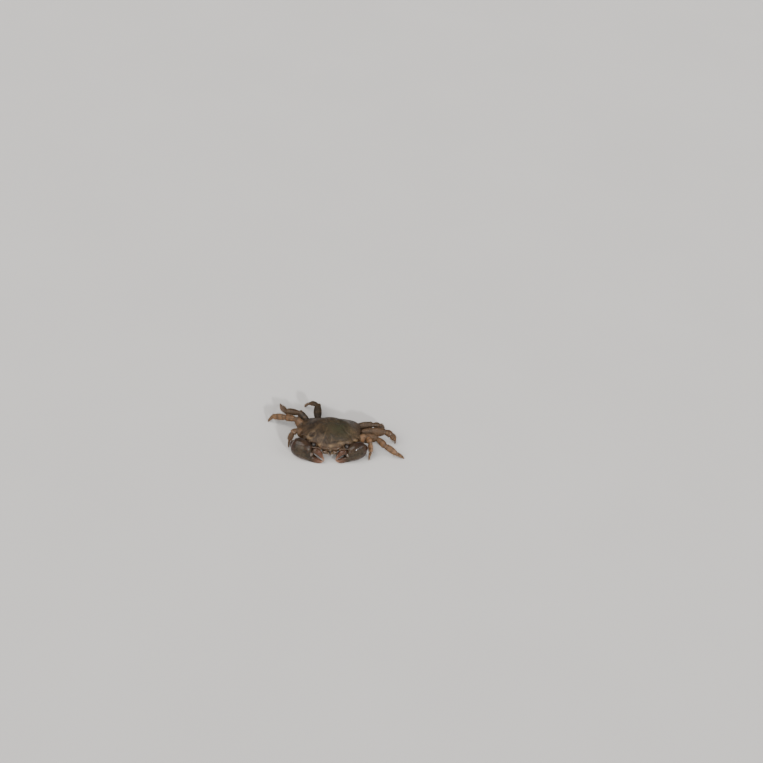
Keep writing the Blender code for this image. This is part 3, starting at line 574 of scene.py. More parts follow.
def frame_along(direction, up):
    """Unit vectors across a direction, above it and along it."""
    along = unit(direction)
    across = Vector(up).cross(along).normalized()
    return across, along.cross(across), along


def mitre(direction, normal, offset):
    """How far along the direction each point slides to lie in the plane, unless the plane is too steep."""
    lean = direction.dot(normal)
    return -(offset @ np.array(normal)) / lean if lean > STEEPEST_MITRE else np.zeros(offset.shape[:-1])


def segment(mesh, start, end, sections, up, planes=(None, None), bow=0.0, ribs=(), spines=()):
    """Rings from start to end, mitred to the planes, with their shares of the way. ribs: degrees, width in
    degrees and height; spines begin with the share and have a reach along it before the height."""
    sides, count = MESH[mesh]
    start, end = Vector(start), Vector(end)
    across, above, along = frame_along(end - start, up)
    shares = eased(count)
    breadth, thickness = smooth(sections, shares)
    angles, c, s = around(sides)
    swell = np.zeros((count, sides))
    envelope = np.sin(pi * np.clip(shares, RIB_END, 1 - RIB_END)) ** RIB_FULLNESS
    for degrees, width, height in ribs:
        swell += height * hill(degrees_from(angles, degrees) / width)[None, :] * envelope[:, None]
    for share, degrees, width, reach, height in spines:
        swell += (height * hill(degrees_from(angles, degrees) / width)[None, :]
                  * hill((shares - share) / reach)[:, None])
    offset = (np.array(across) * (c * (thickness[:, None] + swell))[..., None]
              + np.array(above) * (s * (breadth[:, None] + swell))[..., None])
    slide = mitre(along, planes[0] or along, offset) * np.maximum(0, 1 - 2 * shares)[:, None]
    slide = slide + mitre(along, planes[1] or along, offset) * np.maximum(0, 2 * shares - 1)[:, None]
    line = (np.array(start)[None, :] + np.outer(shares, np.array(end - start))
            + np.outer(bow * np.sin(pi * shares), np.array(above)))
    return line[:, None, :] + offset + np.array(along) * slide[..., None], shares


def lipped(rings, along):
    """Adds the inturned lip of an open end, for the soft skin to come out of."""
    last = rings[-1]
    middle = last.mean(axis=0)
    lips = [middle + (last - middle) * share - np.array(along) * depth for share, depth in LIP]
    return np.concatenate([rings, np.array(lips)])


def joint_skin(centre, direction, up, breadth, thickness, length=0.9):
    """The soft skin that shows between two hard segments."""
    half = unit(direction) * (length / 2)
    table = [(share, breadth * full, thickness * full) for share, full in SKIN_BULGE]
    rings, _ = segment("skin", Vector(centre) - half, Vector(centre) + half, table, up)
    return body("skin", rings, "skin")


def vesicle(name, centre, along, above, size):
    """The soft lobed sac that a male carries between the roots of its claw's fingers."""
    half = Vector(along) * (SAC_HALF_LENGTH * size)
    rings, _ = segment("sac", centre - half, centre + half, scaled(SAC, size), above)
    return body(f"{name}_sac", roughened(rings, "sac", size), "sac")


def tube(mesh, line, radii, side, up, swell=0.0):
    """Rings along a smooth bent line of the level body."""
    sides, count = MESH[mesh]
    table = np.column_stack([np.linspace(0, 1, len(line)), level_to_world(on_side(line, side)), radii])
    x, y, z, radius = smooth(table, np.linspace(0, 1, count))
    path = np.stack([x, y, z], axis=1)
    angles = 2 * pi * np.arange(sides) / sides
    rings = []
    for centre, head, reach in zip(path, np.gradient(path, axis=0), radius * (1 + swell)):
        across, above, _ = frame_along(Vector(head), Vector(up))
        rings.append(centre + (np.outer(np.cos(angles), across) + np.outer(np.sin(angles), above)) * reach)
    return rings


def bristle(root, direction, length):
    """One short tapering hair, as three sides in two lengths and a tip."""
    across, above, along = frame_along(direction, HAIR_UP)
    droop = UP * (-HAIR_DROOP * length)
    points, faces = [], []
    for share, width in HAIR_RINGS:
        centre = root + along * (length * share) + droop * max(share, 0) ** 2
        for step in range(3):
            angle = 2 * pi * step / 3
            points.append(centre + (across * cos(angle) + above * sin(angle)) * (HAIR_RADIUS * width))
    points.append(root + along * length + droop)
    for step in range(3):
        after = (step + 1) % 3
        faces += [(step, after, 3 + after, 3 + step), (3 + step, 3 + after, 6)]
    faces.append((2, 1, 0))
    return points, faces


def bristles(name, roots):
    """Many hairs in one object, from their roots, directions and lengths."""
    points, faces = [], []
    for root, direction, length in roots:
        new_points, new_faces = bristle(Vector(root), direction, length)
        faces += [tuple(vertex + len(points) for vertex in face) for face in new_faces]
        points += new_points
    mesh = bpy.data.meshes.new(name)
    mesh.from_pydata([tuple(point) for point in points], [], faces)
    return placed(name, mesh, "bristle")


class Shader:
    """A material painted in layers over a base colour, with layers of relief. Sizes and depths are in mm."""

    def __init__(self, name, base):
        self.material = bpy.data.materials.new(name)
        self.material.use_nodes = True
        self.tree = self.material.node_tree
        self.surface = self.tree.nodes["Principled BSDF"]
        place = self.node("TexCoord").outputs["Object"]
        self.mm = self.node("VectorMath", {0: place, "Scale": 1 / MM}, operation="SCALE").outputs[0]
        self.colour = base
        self.normal = None

    def node(self, kind, inputs=None, **settings):
        made = self.tree.nodes.new("ShaderNode" + kind)
        for key, value in settings.items():
            setattr(made, key, value)
        for key, value in (inputs or {}).items():
            self.feed(made.inputs[key], value)
        return made

    def feed(self, socket, value):
        if isinstance(value, bpy.types.NodeSocket):
            self.tree.links.new(value, socket)
        elif socket.type == "RGBA":
            socket.default_value = (*value, 1.0)
        else:
            socket.default_value = value

    def noise(self, scale, detail, roughness=0.55, distortion=0.0):
        given = {"Vector": self.mm, "Scale": scale, "Detail": detail, "Roughness": roughness,
                 "Distortion": distortion}
        return self.node("TexNoise", given).outputs[0]

    def cells(self, scale, feature="F1"):
        given = {"Vector": self.mm, "Scale": scale}
        return self.node("TexVoronoi", given, feature=feature).outputs["Distance"]

    def value(self, name):
        return self.node("Attribute", attribute_name=name).outputs["Fac"]

    def between(self, value, low, high, least=0.0, most=1.0):
        """Least at the low value and below, most at the high one and above, and smooth between them."""
        given = {"Value": value, "From Min": low, "From Max": high, "To Min": least, "To Max": most}
        return self.node("MapRange", given, interpolation_type="SMOOTHSTEP").outputs[0]

    def clouds(self, scale, detail, low, high, least=0.0, most=1.0, **noise):
        return self.between(self.noise(scale, detail, **noise), low, high, least, most)

    def dots(self, scale, inner, outer, most=1.0):
        """Round spots that fade from an inner to an outer radius, as shares of a cell."""
        return self.between(self.cells(scale), inner, outer, most, 0.0)

    def math(self, operation, a, b=0.0):
        return self.node("Math", {0: a, 1: b}, operation=operation).outputs[0]

    def times(self, a, b):
        return self.math("MULTIPLY", a, b)

    def frayed(self, name, scale, amount):
        """A named value whose edges wander by up to the amount."""
        return self.math("ADD", self.value(name), self.clouds(scale, 3.0, 0, 1, -amount, amount))

    def paint(self, share, colour, kind="MIX"):
        made = self.node("Mix", data_type="RGBA", blend_type=kind)
        first, second, third = made.inputs[0], made.inputs[6], made.inputs[7]
        self.feed(first, share)
        self.feed(second, self.colour)
        self.feed(third, colour)
        self.colour = made.outputs[2]

    def relief(self, height, depth):
        given = {"Height": height, "Distance": depth * MM, "Strength": 1.0}
        if self.normal:
            given["Normal"] = self.normal
        self.normal = self.node("Bump", given).outputs[0]

    def finish(self, roughness, **settings):
        self.feed(self.surface.inputs["Base Color"], self.colour)
        self.feed(self.surface.inputs["Roughness"], roughness)
        if self.normal:
            self.feed(self.surface.inputs["Normal"], self.normal)
        for key, value in settings.items():
            self.feed(self.surface.inputs[key.replace("_", " ")], value)
        return self.material


def soft_light(weight, radius=0.6):
    """Light that sinks into thin shell: weight, and radius in mm."""
    return {"Subsurface_Weight": weight, "Subsurface_Radius": (1.0, 0.5, 0.3),
            "Subsurface_Scale": radius * MM}


def back_finish():
    """Olive-brown shell with a greener middle, paler front and edge, small red-brown dots, and painted
    highlights and shade along the front.
    """
    s = Shader("carapace_shell", BACK["dark"])
    s.paint(s.clouds(0.42, 6.0, 0.36, 0.66, roughness=0.6, distortion=0.6), BACK["light"])
    s.paint(s.clouds(1.5, 5.0, 0.54, 0.72, 0.0, 0.55, roughness=0.62), BACK["fleck"])
    s.paint(s.times(s.value("green"), s.clouds(0.8, 4.0, 0.3, 0.6, 0.45, 1.0)), BACK["green"])
    s.paint(s.times(s.value("rim"), s.clouds(1.1, 3.0, 0.3, 0.65, 0.2, 0.8)), BACK["rim"])
    # pale marks, partly painted highlights along the front
    s.paint(s.between(s.frayed("marks_and_painted_light", 2.2, 0.18), 0.08, 0.8, 0.0, 0.85), BACK["pale"])
    # dark marks, and a line of painted shade in the slit behind the front
    s.paint(s.between(s.times(s.value("marks_and_painted_light"), -1.0), 0.1, 0.7, 0.0, 0.75), BACK["blotch_and_shade"])
    s.paint(s.times(s.dots(1.9, 0.14, 0.3, 0.6), s.clouds(0.5, 2.0, 0.42, 0.6)), BACK["dot"])
    s.paint(s.times(s.dots(4.2, 0.1, 0.3, 0.45), s.clouds(0.9, 3.0, 0.45, 0.62)), BACK["speck"])
    veins = s.between(s.cells(3.6, "DISTANCE_TO_EDGE"), 0.0, 0.16, 0.2, 0.0)
    s.paint(s.times(veins, s.clouds(0.7, 3.0, 0.4, 0.6)), BACK["vein"])
    grain = s.noise(14.0, 3.0, 0.6)
    s.paint(s.between(grain, 0.3, 0.7, 0.0, 0.3), BACK["grain"], "SOFT_LIGHT")
    s.relief(s.times(s.dots(5.5, 0.0, 0.55), s.between(s.value("rim"), 0.0, 0.6, 0.45, 1.0)), 0.028)
    s.relief(s.noise(3.2, 5.0, 0.6), 0.045)
    s.relief(grain, 0.012)
    return s.finish(s.clouds(1.7, 3.0, 0.25, 0.75, 0.42, 0.62), **DAMP, **soft_light(0.06))


def claw_finish():
    """Grey-olive claws going purple-brown towards their edges, with paler, pinkish finger tips."""
    s = Shader("claw_shell", CLAW["dark"])
    s.paint(s.clouds(0.5, 5.0, 0.34, 0.66, roughness=0.58, distortion=0.5), CLAW["light"])
    s.paint(s.times(s.value("edge"), s.clouds(0.9, 3.0, 0.3, 0.6, 0.4, 1.0)), CLAW["edge"])
    s.paint(s.dots(1.25, 0.12, 0.34, 0.75), CLAW["dot"])
    s.paint(s.clouds(2.3, 5.0, 0.57, 0.72, 0.0, 0.45, roughness=0.65), CLAW["fleck"])
    s.paint(s.between(s.frayed("along", 1.2, 0.07), 0.6, 0.9), CLAW["finger"])
    s.paint(s.between(s.frayed("along", 1.6, 0.05), 0.88, 1.05), CLAW["tip"])
    grain = s.noise(13.0, 3.0, 0.6)
    s.paint(s.between(grain, 0.3, 0.7, 0.0, 0.25), CLAW["grain"], "SOFT_LIGHT")
    s.relief(s.between(s.cells(3.4), 0.05, 0.3), 0.022)
    s.relief(s.noise(2.6, 4.0), 0.045)
    s.relief(grain, 0.008)
    return s.finish(s.clouds(1.5, 3.0, 0.25, 0.75, 0.2, 0.38), **WET, **soft_light(0.06))


def leg_finish():
    """Tan legs with darker bands and flecks; tone says how pale, partly as painted shade, along where on the
    segment.
    """
    s = Shader("leg_shell", LEG["dark"])
    # tan over dark by tone: the legs' own tones, with painted shade where they are darker towards the roots
    s.paint(s.between(s.frayed("tone", 0.7, 0.2), -0.1, 1.0), LEG["tan"])
    wobble = s.clouds(1.6, 2.0, 0, 1, -0.9, 0.9)
    wave = s.math("SINE", s.math("ADD", s.times(s.value("along"), 15.0), wobble))
    s.paint(s.times(s.between(wave, -0.1, 0.75), s.clouds(2.0, 3.0, 0.3, 0.6, 0.35, 0.8)), LEG["band"])
    s.paint(s.dots(2.6, 0.1, 0.26, 0.55), LEG["dot"])
    s.paint(s.clouds(3.0, 4.0, 0.56, 0.72, 0.0, 0.5, roughness=0.6), LEG["fleck"])
    s.paint(s.between(s.value("tip"), 0.78, 0.97), LEG["horn"])
    s.relief(s.dots(6.0, 0.0, 0.5), 0.016)
    s.relief(s.noise(4.0, 4.0, 0.6), 0.03)
    s.relief(s.noise(15.0, 3.0, 0.6), 0.006)
    return s.finish(s.clouds(2.0, 3.0, 0.25, 0.75, 0.38, 0.58), **DAMP, **soft_light(0.2, 0.8))


def underside_finish():
    """Pale tan plates of the underside, with darker mottling up the flanks."""
    s = Shader("underside_shell", UNDERSIDE["dark"])
    s.paint(s.clouds(0.8, 4.0, 0.35, 0.65), UNDERSIDE["light"])
    s.paint(s.times(s.value("flank"), s.clouds(1.1, 4.0, 0.3, 0.6, 0.5, 1.0)), UNDERSIDE["flank"])
    s.paint(s.dots(2.4, 0.1, 0.28, 0.4), UNDERSIDE["dot"])
    s.relief(s.dots(6.5, 0.0, 0.5), 0.014)
    s.relief(s.noise(3.0, 4.0), 0.04)
    return s.finish(s.clouds(2.0, 2.0, 0.3, 0.7, 0.34, 0.52), **MOIST, Specular_IOR_Level=0.3,
                    **soft_light(0.15))


def eye_finish():
    s = Shader("eye_cornea", (0.009, 0.008, 0.008))
    s.paint(s.clouds(1.2, 2.0, 0.4, 0.6), (0.028, 0.02, 0.016))
    s.relief(s.dots(16.0, 0.0, 0.5), 0.004)
    return s.finish(0.3, Coat_Weight=0.25, Coat_Roughness=0.08, Specular_IOR_Level=0.25)


def feeler_finish():
    s = Shader("feeler_shell", (0.032, 0.017, 0.009))
    s.paint(s.clouds(2.5, 3.0, 0.35, 0.65), (0.095, 0.052, 0.026))
    s.relief(s.noise(8.0, 3.0), 0.01)
    return s.finish(0.45, **MOIST, **soft_light(0.05, 0.3))


def skin_finish(name, wetness, film):
    """Soft brown skin under a film of water: how much of it, and the film's index of refraction."""
    s = Shader(name, (0.04, 0.022, 0.012))
    s.paint(s.clouds(3.0, 3.0, 0.35, 0.65), (0.085, 0.047, 0.026))
    s.relief(s.noise(7.0, 4.0), 0.01)
    return s.finish(0.4, Coat_Weight=wetness, Coat_Roughness=0.06, Coat_IOR=film, Specular_IOR_Level=0.2,
                    **soft_light(0.1, 0.5))


def bristle_finish():
    s = Shader("bristle_horn", (0.1, 0.06, 0.03))
    s.paint(s.clouds(4.0, 2.0, 0.35, 0.65), (0.3, 0.2, 0.11))
    return s.finish(0.45)


FINISHES = {
    "back": back_finish(), "claw": claw_finish(), "leg": leg_finish(), "underside": underside_finish(),
    "eye": eye_finish(), "feeler": feeler_finish(), "skin": skin_finish("joint_skin", 0.35, 1.35),
    "sac": skin_finish("claw_sac", 1.0, 1.75), "bristle": bristle_finish(),
}


def level_to_world(points):
    """Points of the level body carried to the body's own height and pitch."""
    points = np.asarray(points, dtype=float)
    c, s = cos(-BODY_PITCH), sin(-BODY_PITCH)
    y, z = points[..., 1], points[..., 2]
    return np.stack([points[..., 0], y * c - z * s, y * s + z * c + RIM_HEIGHT], axis=-1)


def on_side(points, side):
    """Points given for the left side, carried to the right one when the side is -1."""
    return [(x * side, y, z) for x, y, z in points]


def through(points, per_edge):
    """A closed smooth line through the points, with per_edge steps between neighbours."""
    given = np.asarray(points, dtype=float)
    before, after, later = np.roll(given, 1, axis=0), np.roll(given, -1, axis=0), np.roll(given, -2, axis=0)
    rows = []
    for step in range(per_edge):
        t = step / per_edge
        rows.append(0.5 * (2 * given + (after - before) * t
                           + (2 * before - 5 * given + 4 * after - later) * t**2
                           + (3 * given - before - 3 * after + later) * t**3))
    return np.stack(rows, axis=1).reshape(-1, given.shape[1])


def without_teeth(outline):
    """The outline with its teeth worn away, each round a little more."""
    for _ in range(TEETH_WEAR):
        outline = (np.roll(outline, 1, axis=0) + 2 * outline + np.roll(outline, -1, axis=0)) / 4
    return outline


def in_front(y, line, sharpness):
    """1 in front of the line and 0 behind it."""
    return 1 / (1 + np.exp(np.clip((y - line) * sharpness, -30, 30)))


def edge_height(y):
    """How far the shell's edge bends down towards the front and the rear."""
    return -sum(drop * np.maximum(0.0, (y * way - start) / length) ** 2
                for way, start, length, drop in EDGE_DROPS)


def bumps(x, y, table):
    """Sum of round swellings or marks: x, y, radius and height."""
    total = np.zeros_like(x)
    for centre_x, centre_y, radius, height in table:
        total += height * np.exp(-((x - centre_x) ** 2 + (y - centre_y) ** 2) / radius**2)
    return total


def mirrored(table):
    """The table with each row that is off the middle line repeated on the other side."""
    return table + [(-x, y, radius, height) for x, y, radius, height in table if x]


def distance_to_line(x, y, line):
    """How far each point is from a line through several points."""
    nearest = np.full_like(x, 1e9)
    for (ax, ay), (bx, by) in zip(line, line[1:]):
        length = (bx - ax) ** 2 + (by - ay) ** 2
        t = np.clip(((x - ax) * (bx - ax) + (y - ay) * (by - ay)) / length, 0, 1)
        nearest = np.minimum(nearest, np.hypot(x - ax - t * (bx - ax), y - ay - t * (by - ay)))
    return nearest


def grooves(x, y):
    """Depth of the grooves, fainter on the crab's right."""
    depth = np.zeros_like(x)
    for line, width, deep in GROOVES:
        depth = np.maximum(depth, deep * hill(distance_to_line(np.abs(x), y, line) / width))
    return depth * np.where(x < FAINT_FROM, FAINT_SIDE, 1.0)


def transverse_lines(x, y):
    """Short raised lines of granules across the outer front of the back."""
    (middle_x, width_x), (middle_y, width_y) = FINE_LINES_ZONE
    zone = hill((np.abs(x) - middle_x) / width_x) * hill((y - middle_y) / width_y)
    height, length = FINE_LINES_WAVE
    turns = 2 * pi * (y * FINE_LINES_PER_MM + FINE_LINES_SLANT * np.abs(x)) + height * np.sin(length * x)
    return zone * FINE_LINES_HEIGHT * np.maximum(0, np.sin(turns)) ** 3


def back_height(x, y, share):
    """The back's height over the rim of the level body, at a share of the way out to the edge."""
    inside = 1 - share
    height = SHELL_RISE * (1 - share**CROWN_FALL)
    height += bumps(x, y, mirrored(RELIEF)) * min(1.0, RELIEF_FADE * inside)
    height -= grooves(x, y) * min(1.0, GROOVE_AT_EDGE + GROOVE_FADE * inside)
    height += transverse_lines(x, y) * min(1.0, LINES_FADE * inside)
    bead = sum(rise * hill((share - place) / width) for place, width, rise in EDGE_BEADS)
    return height + in_front(y, *BEAD_END) * bead + edge_height(y) * share**EDGE_BEND


def pale_rim(y, share):
    """How strong the paler rim is, at a share of the way out to the edge."""
    strength = PALE_RIM_SIDES + (1 - PALE_RIM_SIDES) * in_front(y, *PALE_RIM_END)
    return limited((share - PALE_RIM_START) / (1 - PALE_RIM_START)) ** PALE_RIM_FADE * strength


def pale_and_dark(x, y):
    """Strength of the pale marks and painted highlights, below 0 for the dark marks and the painted shade."""
    middle_x, middle_y, radius, width, strength = PALE_RING
    ring = strength * hill((np.hypot(x - middle_x, (y - middle_y) * RING_LENGTH) - radius) / width)
    lines = sum(shade * hill(distance_to_line(x, y, line) / wide) for line, wide, shade in PALE_AND_PAINTED_LIGHT_LINES)
    return bumps(x, y, MARKS_AND_HIGHLIGHTS) + ring + lines


def greener(x, y):
    """How far the shell has the green of its middle."""
    middle_x, middle_y, radius = GREEN_PATCH
    return np.exp(-((x - middle_x) ** 2 * GREEN_WIDTH + (y - middle_y) ** 2) / radius**2)


def carapace():
    """The back shell: lobes, grooves, toothed edge with its bead, and the fold under it."""
    points = np.array(HALF_OUTLINE + [(-x, y) for x, y in HALF_OUTLINE[-2:0:-1]])
    outline = through(points, OUTLINE_STEPS)
    worn = through(without_teeth(points), OUTLINE_STEPS)
    crown = np.array(CROWN)
    rings, rim, marks, green = [], [], [], []
    for step in np.linspace(FIRST_RING, 1.0, BACK_RINGS):
        share = 1 - (1 - step) ** RING_CROWDING
        flat = crown + (worn + (outline - worn) * share**TOOTH_RISE - crown) * share
        x, y = flat[:, 0], flat[:, 1]
        rings.append(level_to_world(np.column_stack([x, y, back_height(x, y, share)])))
        rim.append(pale_rim(y, share))
        # pale and dark marks, with the painted highlights and shade of the front
        marks.append(pale_and_dark(x, y))
        green.append(greener(x, y))
    for inset, drop in UNDER_EDGE:
        flat = outline * inset
        rings.append(level_to_world(np.column_stack([flat, edge_height(flat[:, 1]) - drop])))
        rim.append(rim[BACK_RINGS - 1] * UNDER_RIM)
        marks.append(marks[BACK_RINGS - 1] * UNDER_MARKS)
        green.append(green[BACK_RINGS - 1])
    values = {"rim": rim, "marks_and_painted_light": marks, "green": green}
    made = body("carapace_shell", roughened(rings, "carapace"), "back", values)
    return dressed(made, "carapace", "carapace")


def thorax():
    """The flanks under the shell and the plates of the underside."""
    count, levels = MESH["thorax"]
    _, c, s = around(count)
    full = fuller(c, s, BODY_SQUARENESS)
    rows = []
    for wide, long, drop in FLANKS:
        x = SHELL_WIDTH / 2 * wide * c * full * (1 - FACE_TAPER * np.maximum(0.0, -s) ** FACE_TAPER_POWER)
        y = SHELL_LENGTH / 2 * long * s * full
        rows.append(level_to_world(np.column_stack([x, y, edge_height(y) - RIM_THICKNESS - GAP - drop])))
    for wide, long, rise in STERNUM:
        level = np.full(count, STERNUM_HEIGHT + rise)
        rows.append(np.column_stack([wide * c, long * s + STERNUM_MIDDLE, level]))
    sides = refine(rows, levels)
    last = sides[-1]
    middle = last.mean(axis=0)
    inner = [middle + (last - middle) * share for share in np.linspace(*STERNUM_RINGS)]
    rings = np.concatenate([sides, np.array(inner)])
    x, y, z = rings[..., 0], rings[..., 1], rings[..., 2]
    turn_x, turn_y = STERNUM_SEAM_TURN
    seams = np.zeros_like(x)
    for seam in STERNUM_SEAMS:
        bend = STERNUM_SEAM_BEND * (np.abs(x) - turn_x) ** 2 * np.sign(seam - turn_y)
        seams = np.maximum(seams, hill((y - seam + bend) / STERNUM_SEAM_WIDTH))
    (clear, fade), (ceiling, depth) = STERNUM_SEAM_START, SEAM_CEILING
    seams *= limited((np.abs(x) - clear) / fade) * limited((ceiling - z) / depth)
    rings[..., 2] += seams * STERNUM_SEAM_DEPTH
    flank = limited((z - FLANK_START) / FLANK_FADE)
    made = body("thorax_plates", roughened(rings, "thorax"), "underside", {"flank": flank})
    return dressed(made, "underside", "thorax")


def abdomen():
    """The narrow tail flap, arched across, with the seams between its segments."""
    sides, count = MESH["abdomen"]
    table = np.array(ABDOMEN)
    path = np.concatenate([[0.0], np.cumsum(np.hypot(np.diff(table[:, 0]), np.diff(table[:, 2])))])
    travel = np.linspace(0, path[-1], count)
    y, half_width, low = smooth(np.column_stack([path, table]), travel)
    steep = np.gradient(low, travel)[:, None]
    _, c, s = around(sides)
    full = fuller(c, s, FLAP_SQUARENESS)
    c, s = c * full, s * full
    seams = sum(hill((travel - seam) / SEAM_WIDTH) for seam in ABDOMEN_SEAMS)[:, None]
    pinch = 1 - SEAM_DEPTH * seams
    half = ABDOMEN_THICKNESS / 2
    arch = FLAP_ARCH * c[None, :] ** 2
    x = half_width[:, None] * pinch * c[None, :]
    z = low[:, None] + half + half * pinch * s + arch * (1 - steep)
    rings = np.stack([x, y[:, None] - arch * steep - SEAM_STEP * steep * seams, z], axis=-1)
    flank = FLAP_FLANK * limited((low - FLAP_FLANK_START) / FLAP_FLANK_FADE)[:, None]
    made = body("abdomen_flap", roughened(rings, "abdomen"), "underside", {"flank": flank})
    return dressed(made, "underside", "abdomen")


def leg(name, points, side):
    """One walking leg: four hard segments, its coxa, the soft skin between them and its bristles."""
    size = LEG_SIZE[name[:4]]
    joints = [Vector(point) for point in on_side(points, side)]
    heads = [(b - a).normalized() for a, b in zip(joints, joints[1:])]
    planes = [heads[0]] + [(a + b).normalized() for a, b in zip(heads, heads[1:])] + [heads[-1]]
    up = Vector(TRAILING_LEAN if name == TRAILING_LEG else LEG_LEAN)
    root_tone, tip_tone = LEG_TONES_AND_SHADE[name]
    hairs, skins = [], []
    for index, (part, (sections, bow, ribs, spines, *fringe)) in enumerate(LEG_PARTS.items()):
        start = joints[index] + heads[index] * (JOINT_CLEARANCE if index else MERUS_START)
        end = joints[index + 1] - heads[index] * (JOINT_CLEARANCE if index < 3 else 0.0)
        rings, shares = segment("leg", start, end, scaled(sections, size), up, planes[index:index + 2], bow,
                                ribs, spines)
        rings = roughened(rings, "leg", size, index)
        hairs += margin_hairs(rings, heads[index], *fringe)
        if part == "dactyl":
            rings[..., 2] = np.maximum(rings[..., 2], 0.0)
            along, tip = shares, shares
        else:
            rings = lipped(rings, heads[index])
            along = np.concatenate([shares, np.ones(len(LIP))])
            tip = np.zeros(len(along))
        # darker towards the root: partly the leg's own tone, partly painted shade under the shell
        tone = root_tone + (tip_tone - root_tone) * limited((index + along) * LEG_TONE_RISE - LEG_TONE_START)
        values = {"along": (along + BAND_SHIFT * index)[:, None], "tone": tone[:, None], "tip": tip[:, None]}
        dressed(body(f"{name}_{part}_shell", rings, "leg", values), "leg", f"{name}_{part}")
        if index:
            skins.append(joint_skin(joints[index], planes[index], up, *socket))
        socket = [half * size * SKIN_SHARE for half in sections[-1][1:]]
    root = joints[0] + heads[0] * COXA_START
    end = root + heads[0] * COXA_LENGTH
    rings, _ = segment("coxa", root, end, scaled(COXA, size), up)
    dressed(body(f"{name}_coxa", roughened(rings, "coxa"), "underside", {"flank": COXA_FLANK}), "underside")
    skins.append(joint_skin(end, heads[0], up, *(half * size for half in COXA_SKIN)))
    dressed(merged(f"{name}_joint_skin", skins), "leg")
    dressed(bristles(f"{name}_bristles", hairs), "leg")


def margin_hairs(rings, head, rows, length, step):
    """Roots, directions and lengths of the short hairs along a segment's two margins."""
    sides = rings.shape[1]
    found = []
    for row in range(rows):
        for margin in MARGINS:
            column = int((margin + HAIR_ROW_SPREAD * (row - (rows - 1) / 2)) * sides) % sides
            for ring in rings[HAIR_ENDS[0]:-HAIR_ENDS[1]:step]:
                root = Vector(ring[column])
                outward = (root - Vector(ring.mean(axis=0))).normalized() * draw.uniform(*HAIR_SPLAY)
                wander = Vector([draw.uniform(-HAIR_WANDER, HAIR_WANDER) for _ in range(3)])
                reach = length * draw.uniform(*HAIR_LENGTHS)
                if root.z > HAIR_FLOOR:
                    found.append((root, outward + head * HAIR_FORWARD + wander, reach))
    return found


def claw_rings(mesh, base, sections, axes, ribs, squareness=2.0):
    """Rings of a palm or finger, measured from the wrist along, up and across it."""
    sides, count = MESH[mesh]
    along, above, across = (np.array(axis) for axis in axes)
    low, high = sections[0][0], sections[-1][0]
    distances = low + (high - low) * np.linspace(0, 1, count)
    middle, half_height, half_thickness = smooth(sections, distances)
    angles, c, s = around(sides)
    swell = np.zeros((count, sides))
    for degrees, width, height, start, end in ribs:
        zone = limited((distances - start) / RIB_FADE) * limited((end - distances) / RIB_FADE)
        swell += height * hill(degrees_from(angles, degrees) / width)[None, :] * zone[:, None]
    rings = (np.array(base) + np.outer(distances, along) + np.outer(middle, above))[:, None, :]
    full = fuller(c, s, squareness)
    rings = rings + above * ((s * full)[None, :] * (half_height[:, None] + swell))[..., None]
    rings = rings + across * ((c * full)[None, :] * (half_thickness[:, None] + swell))[..., None]
    return rings, distances


def bite(row, table, wrist, axes, facing, size):
    """The rounded teeth of one finger, each with its foot sunk in the finger."""
    along, above, _ = axes
    width, height, level, slope, start, shift = row
    direction = above * facing
    found = []
    for distance, radius in table:
        lift = level + slope * max(0.0, distance - start)
        foot = wrist + (along * (distance + shift) + above * lift) * size
        half = direction * (height * size) / 2
        rings, _ = segment("tooth", foot - half, foot + half, scaled(TOOTH, radius * size * width), TOOTH_UP)
        found.append(body("tooth", rings, "claw", {"along": distance / CLAW_LENGTH, "edge": 0.0}))
    return found


def arm_and_wrist(name, root, elbow, wrist, turned, size):
    """The arm, and the lump that joins it to the palm. Returns the direction of the joint between them."""
    head = (elbow - root).normalized()
    joint = (head + (wrist - elbow).normalized()).normalized()
    rings, shares = segment("arm", root, elbow, scaled(ARM, size), UP, (head, joint), ribs=ARM_RIBS)
    values = {"along": shares[:, None], "tone": 0.35, "tip": 0.0}
    arm = body(f"{name}_merus_shell", roughened(rings, "arm"), "leg", values)
    dressed(arm, "leg", f"{name}_merus")
    share, turn, *form = WRIST_SPINE
    spine = (share, 90 - turn * turned, *form)
    rings, _ = segment("wrist", elbow + joint * WRIST_START, elbow.lerp(wrist, WRIST_REACH),
                       scaled(WRIST_LUMP, size), UP, (joint, None), spines=[spine])
    lump = body(f"{name}_carpus_shell", roughened(rings, "wrist"), "claw", {"along": 0.0, "edge": 0.45})
    dressed(lump, "claw", f"{name}_carpus")
    return joint


def palm(name, wrist, axes, outer, size):
    """The swollen palm with its fixed finger."""
    sized = [[value * size for value in section] for section in PALM]
    lower = 90 - (90 + PALM_LOWER_EDGE) * outer
    ribs = [(lower - turn * outer, width, height * size, start * size, end * size)
            for turn, width, height, start, end in PALM_RIBS]
    rings, distances = claw_rings("palm", wrist, sized, axes, ribs, PALM_SQUARENESS)
    rings = roughened(rings, "palm", size)
    rings[..., 2] = np.maximum(rings[..., 2], 0.0)
    levels = (rings - rings.mean(axis=1, keepdims=True)) @ np.array(axes[1]) / (EDGE_SHADE_DEPTH * size)
    margins = limited(-levels) ** 2 + UPPER_EDGE_SHADE * limited(levels) ** 2
    near_wrist = WRIST_SHADE * limited(1 - distances / (WRIST_SHADE_REACH * size))[:, None]
    values = {"along": (distances / sized[-1][0])[:, None], "edge": np.maximum(margins, near_wrist)}
    pieces = [body(f"{name}_palm_body", rings, "claw", values)]
    pieces += bite(FIXED_TEETH, FINGER_TEETH, wrist, axes, 1, size)
    dressed(merged(f"{name}_palm_shell", pieces), "claw", f"{name}_palm")


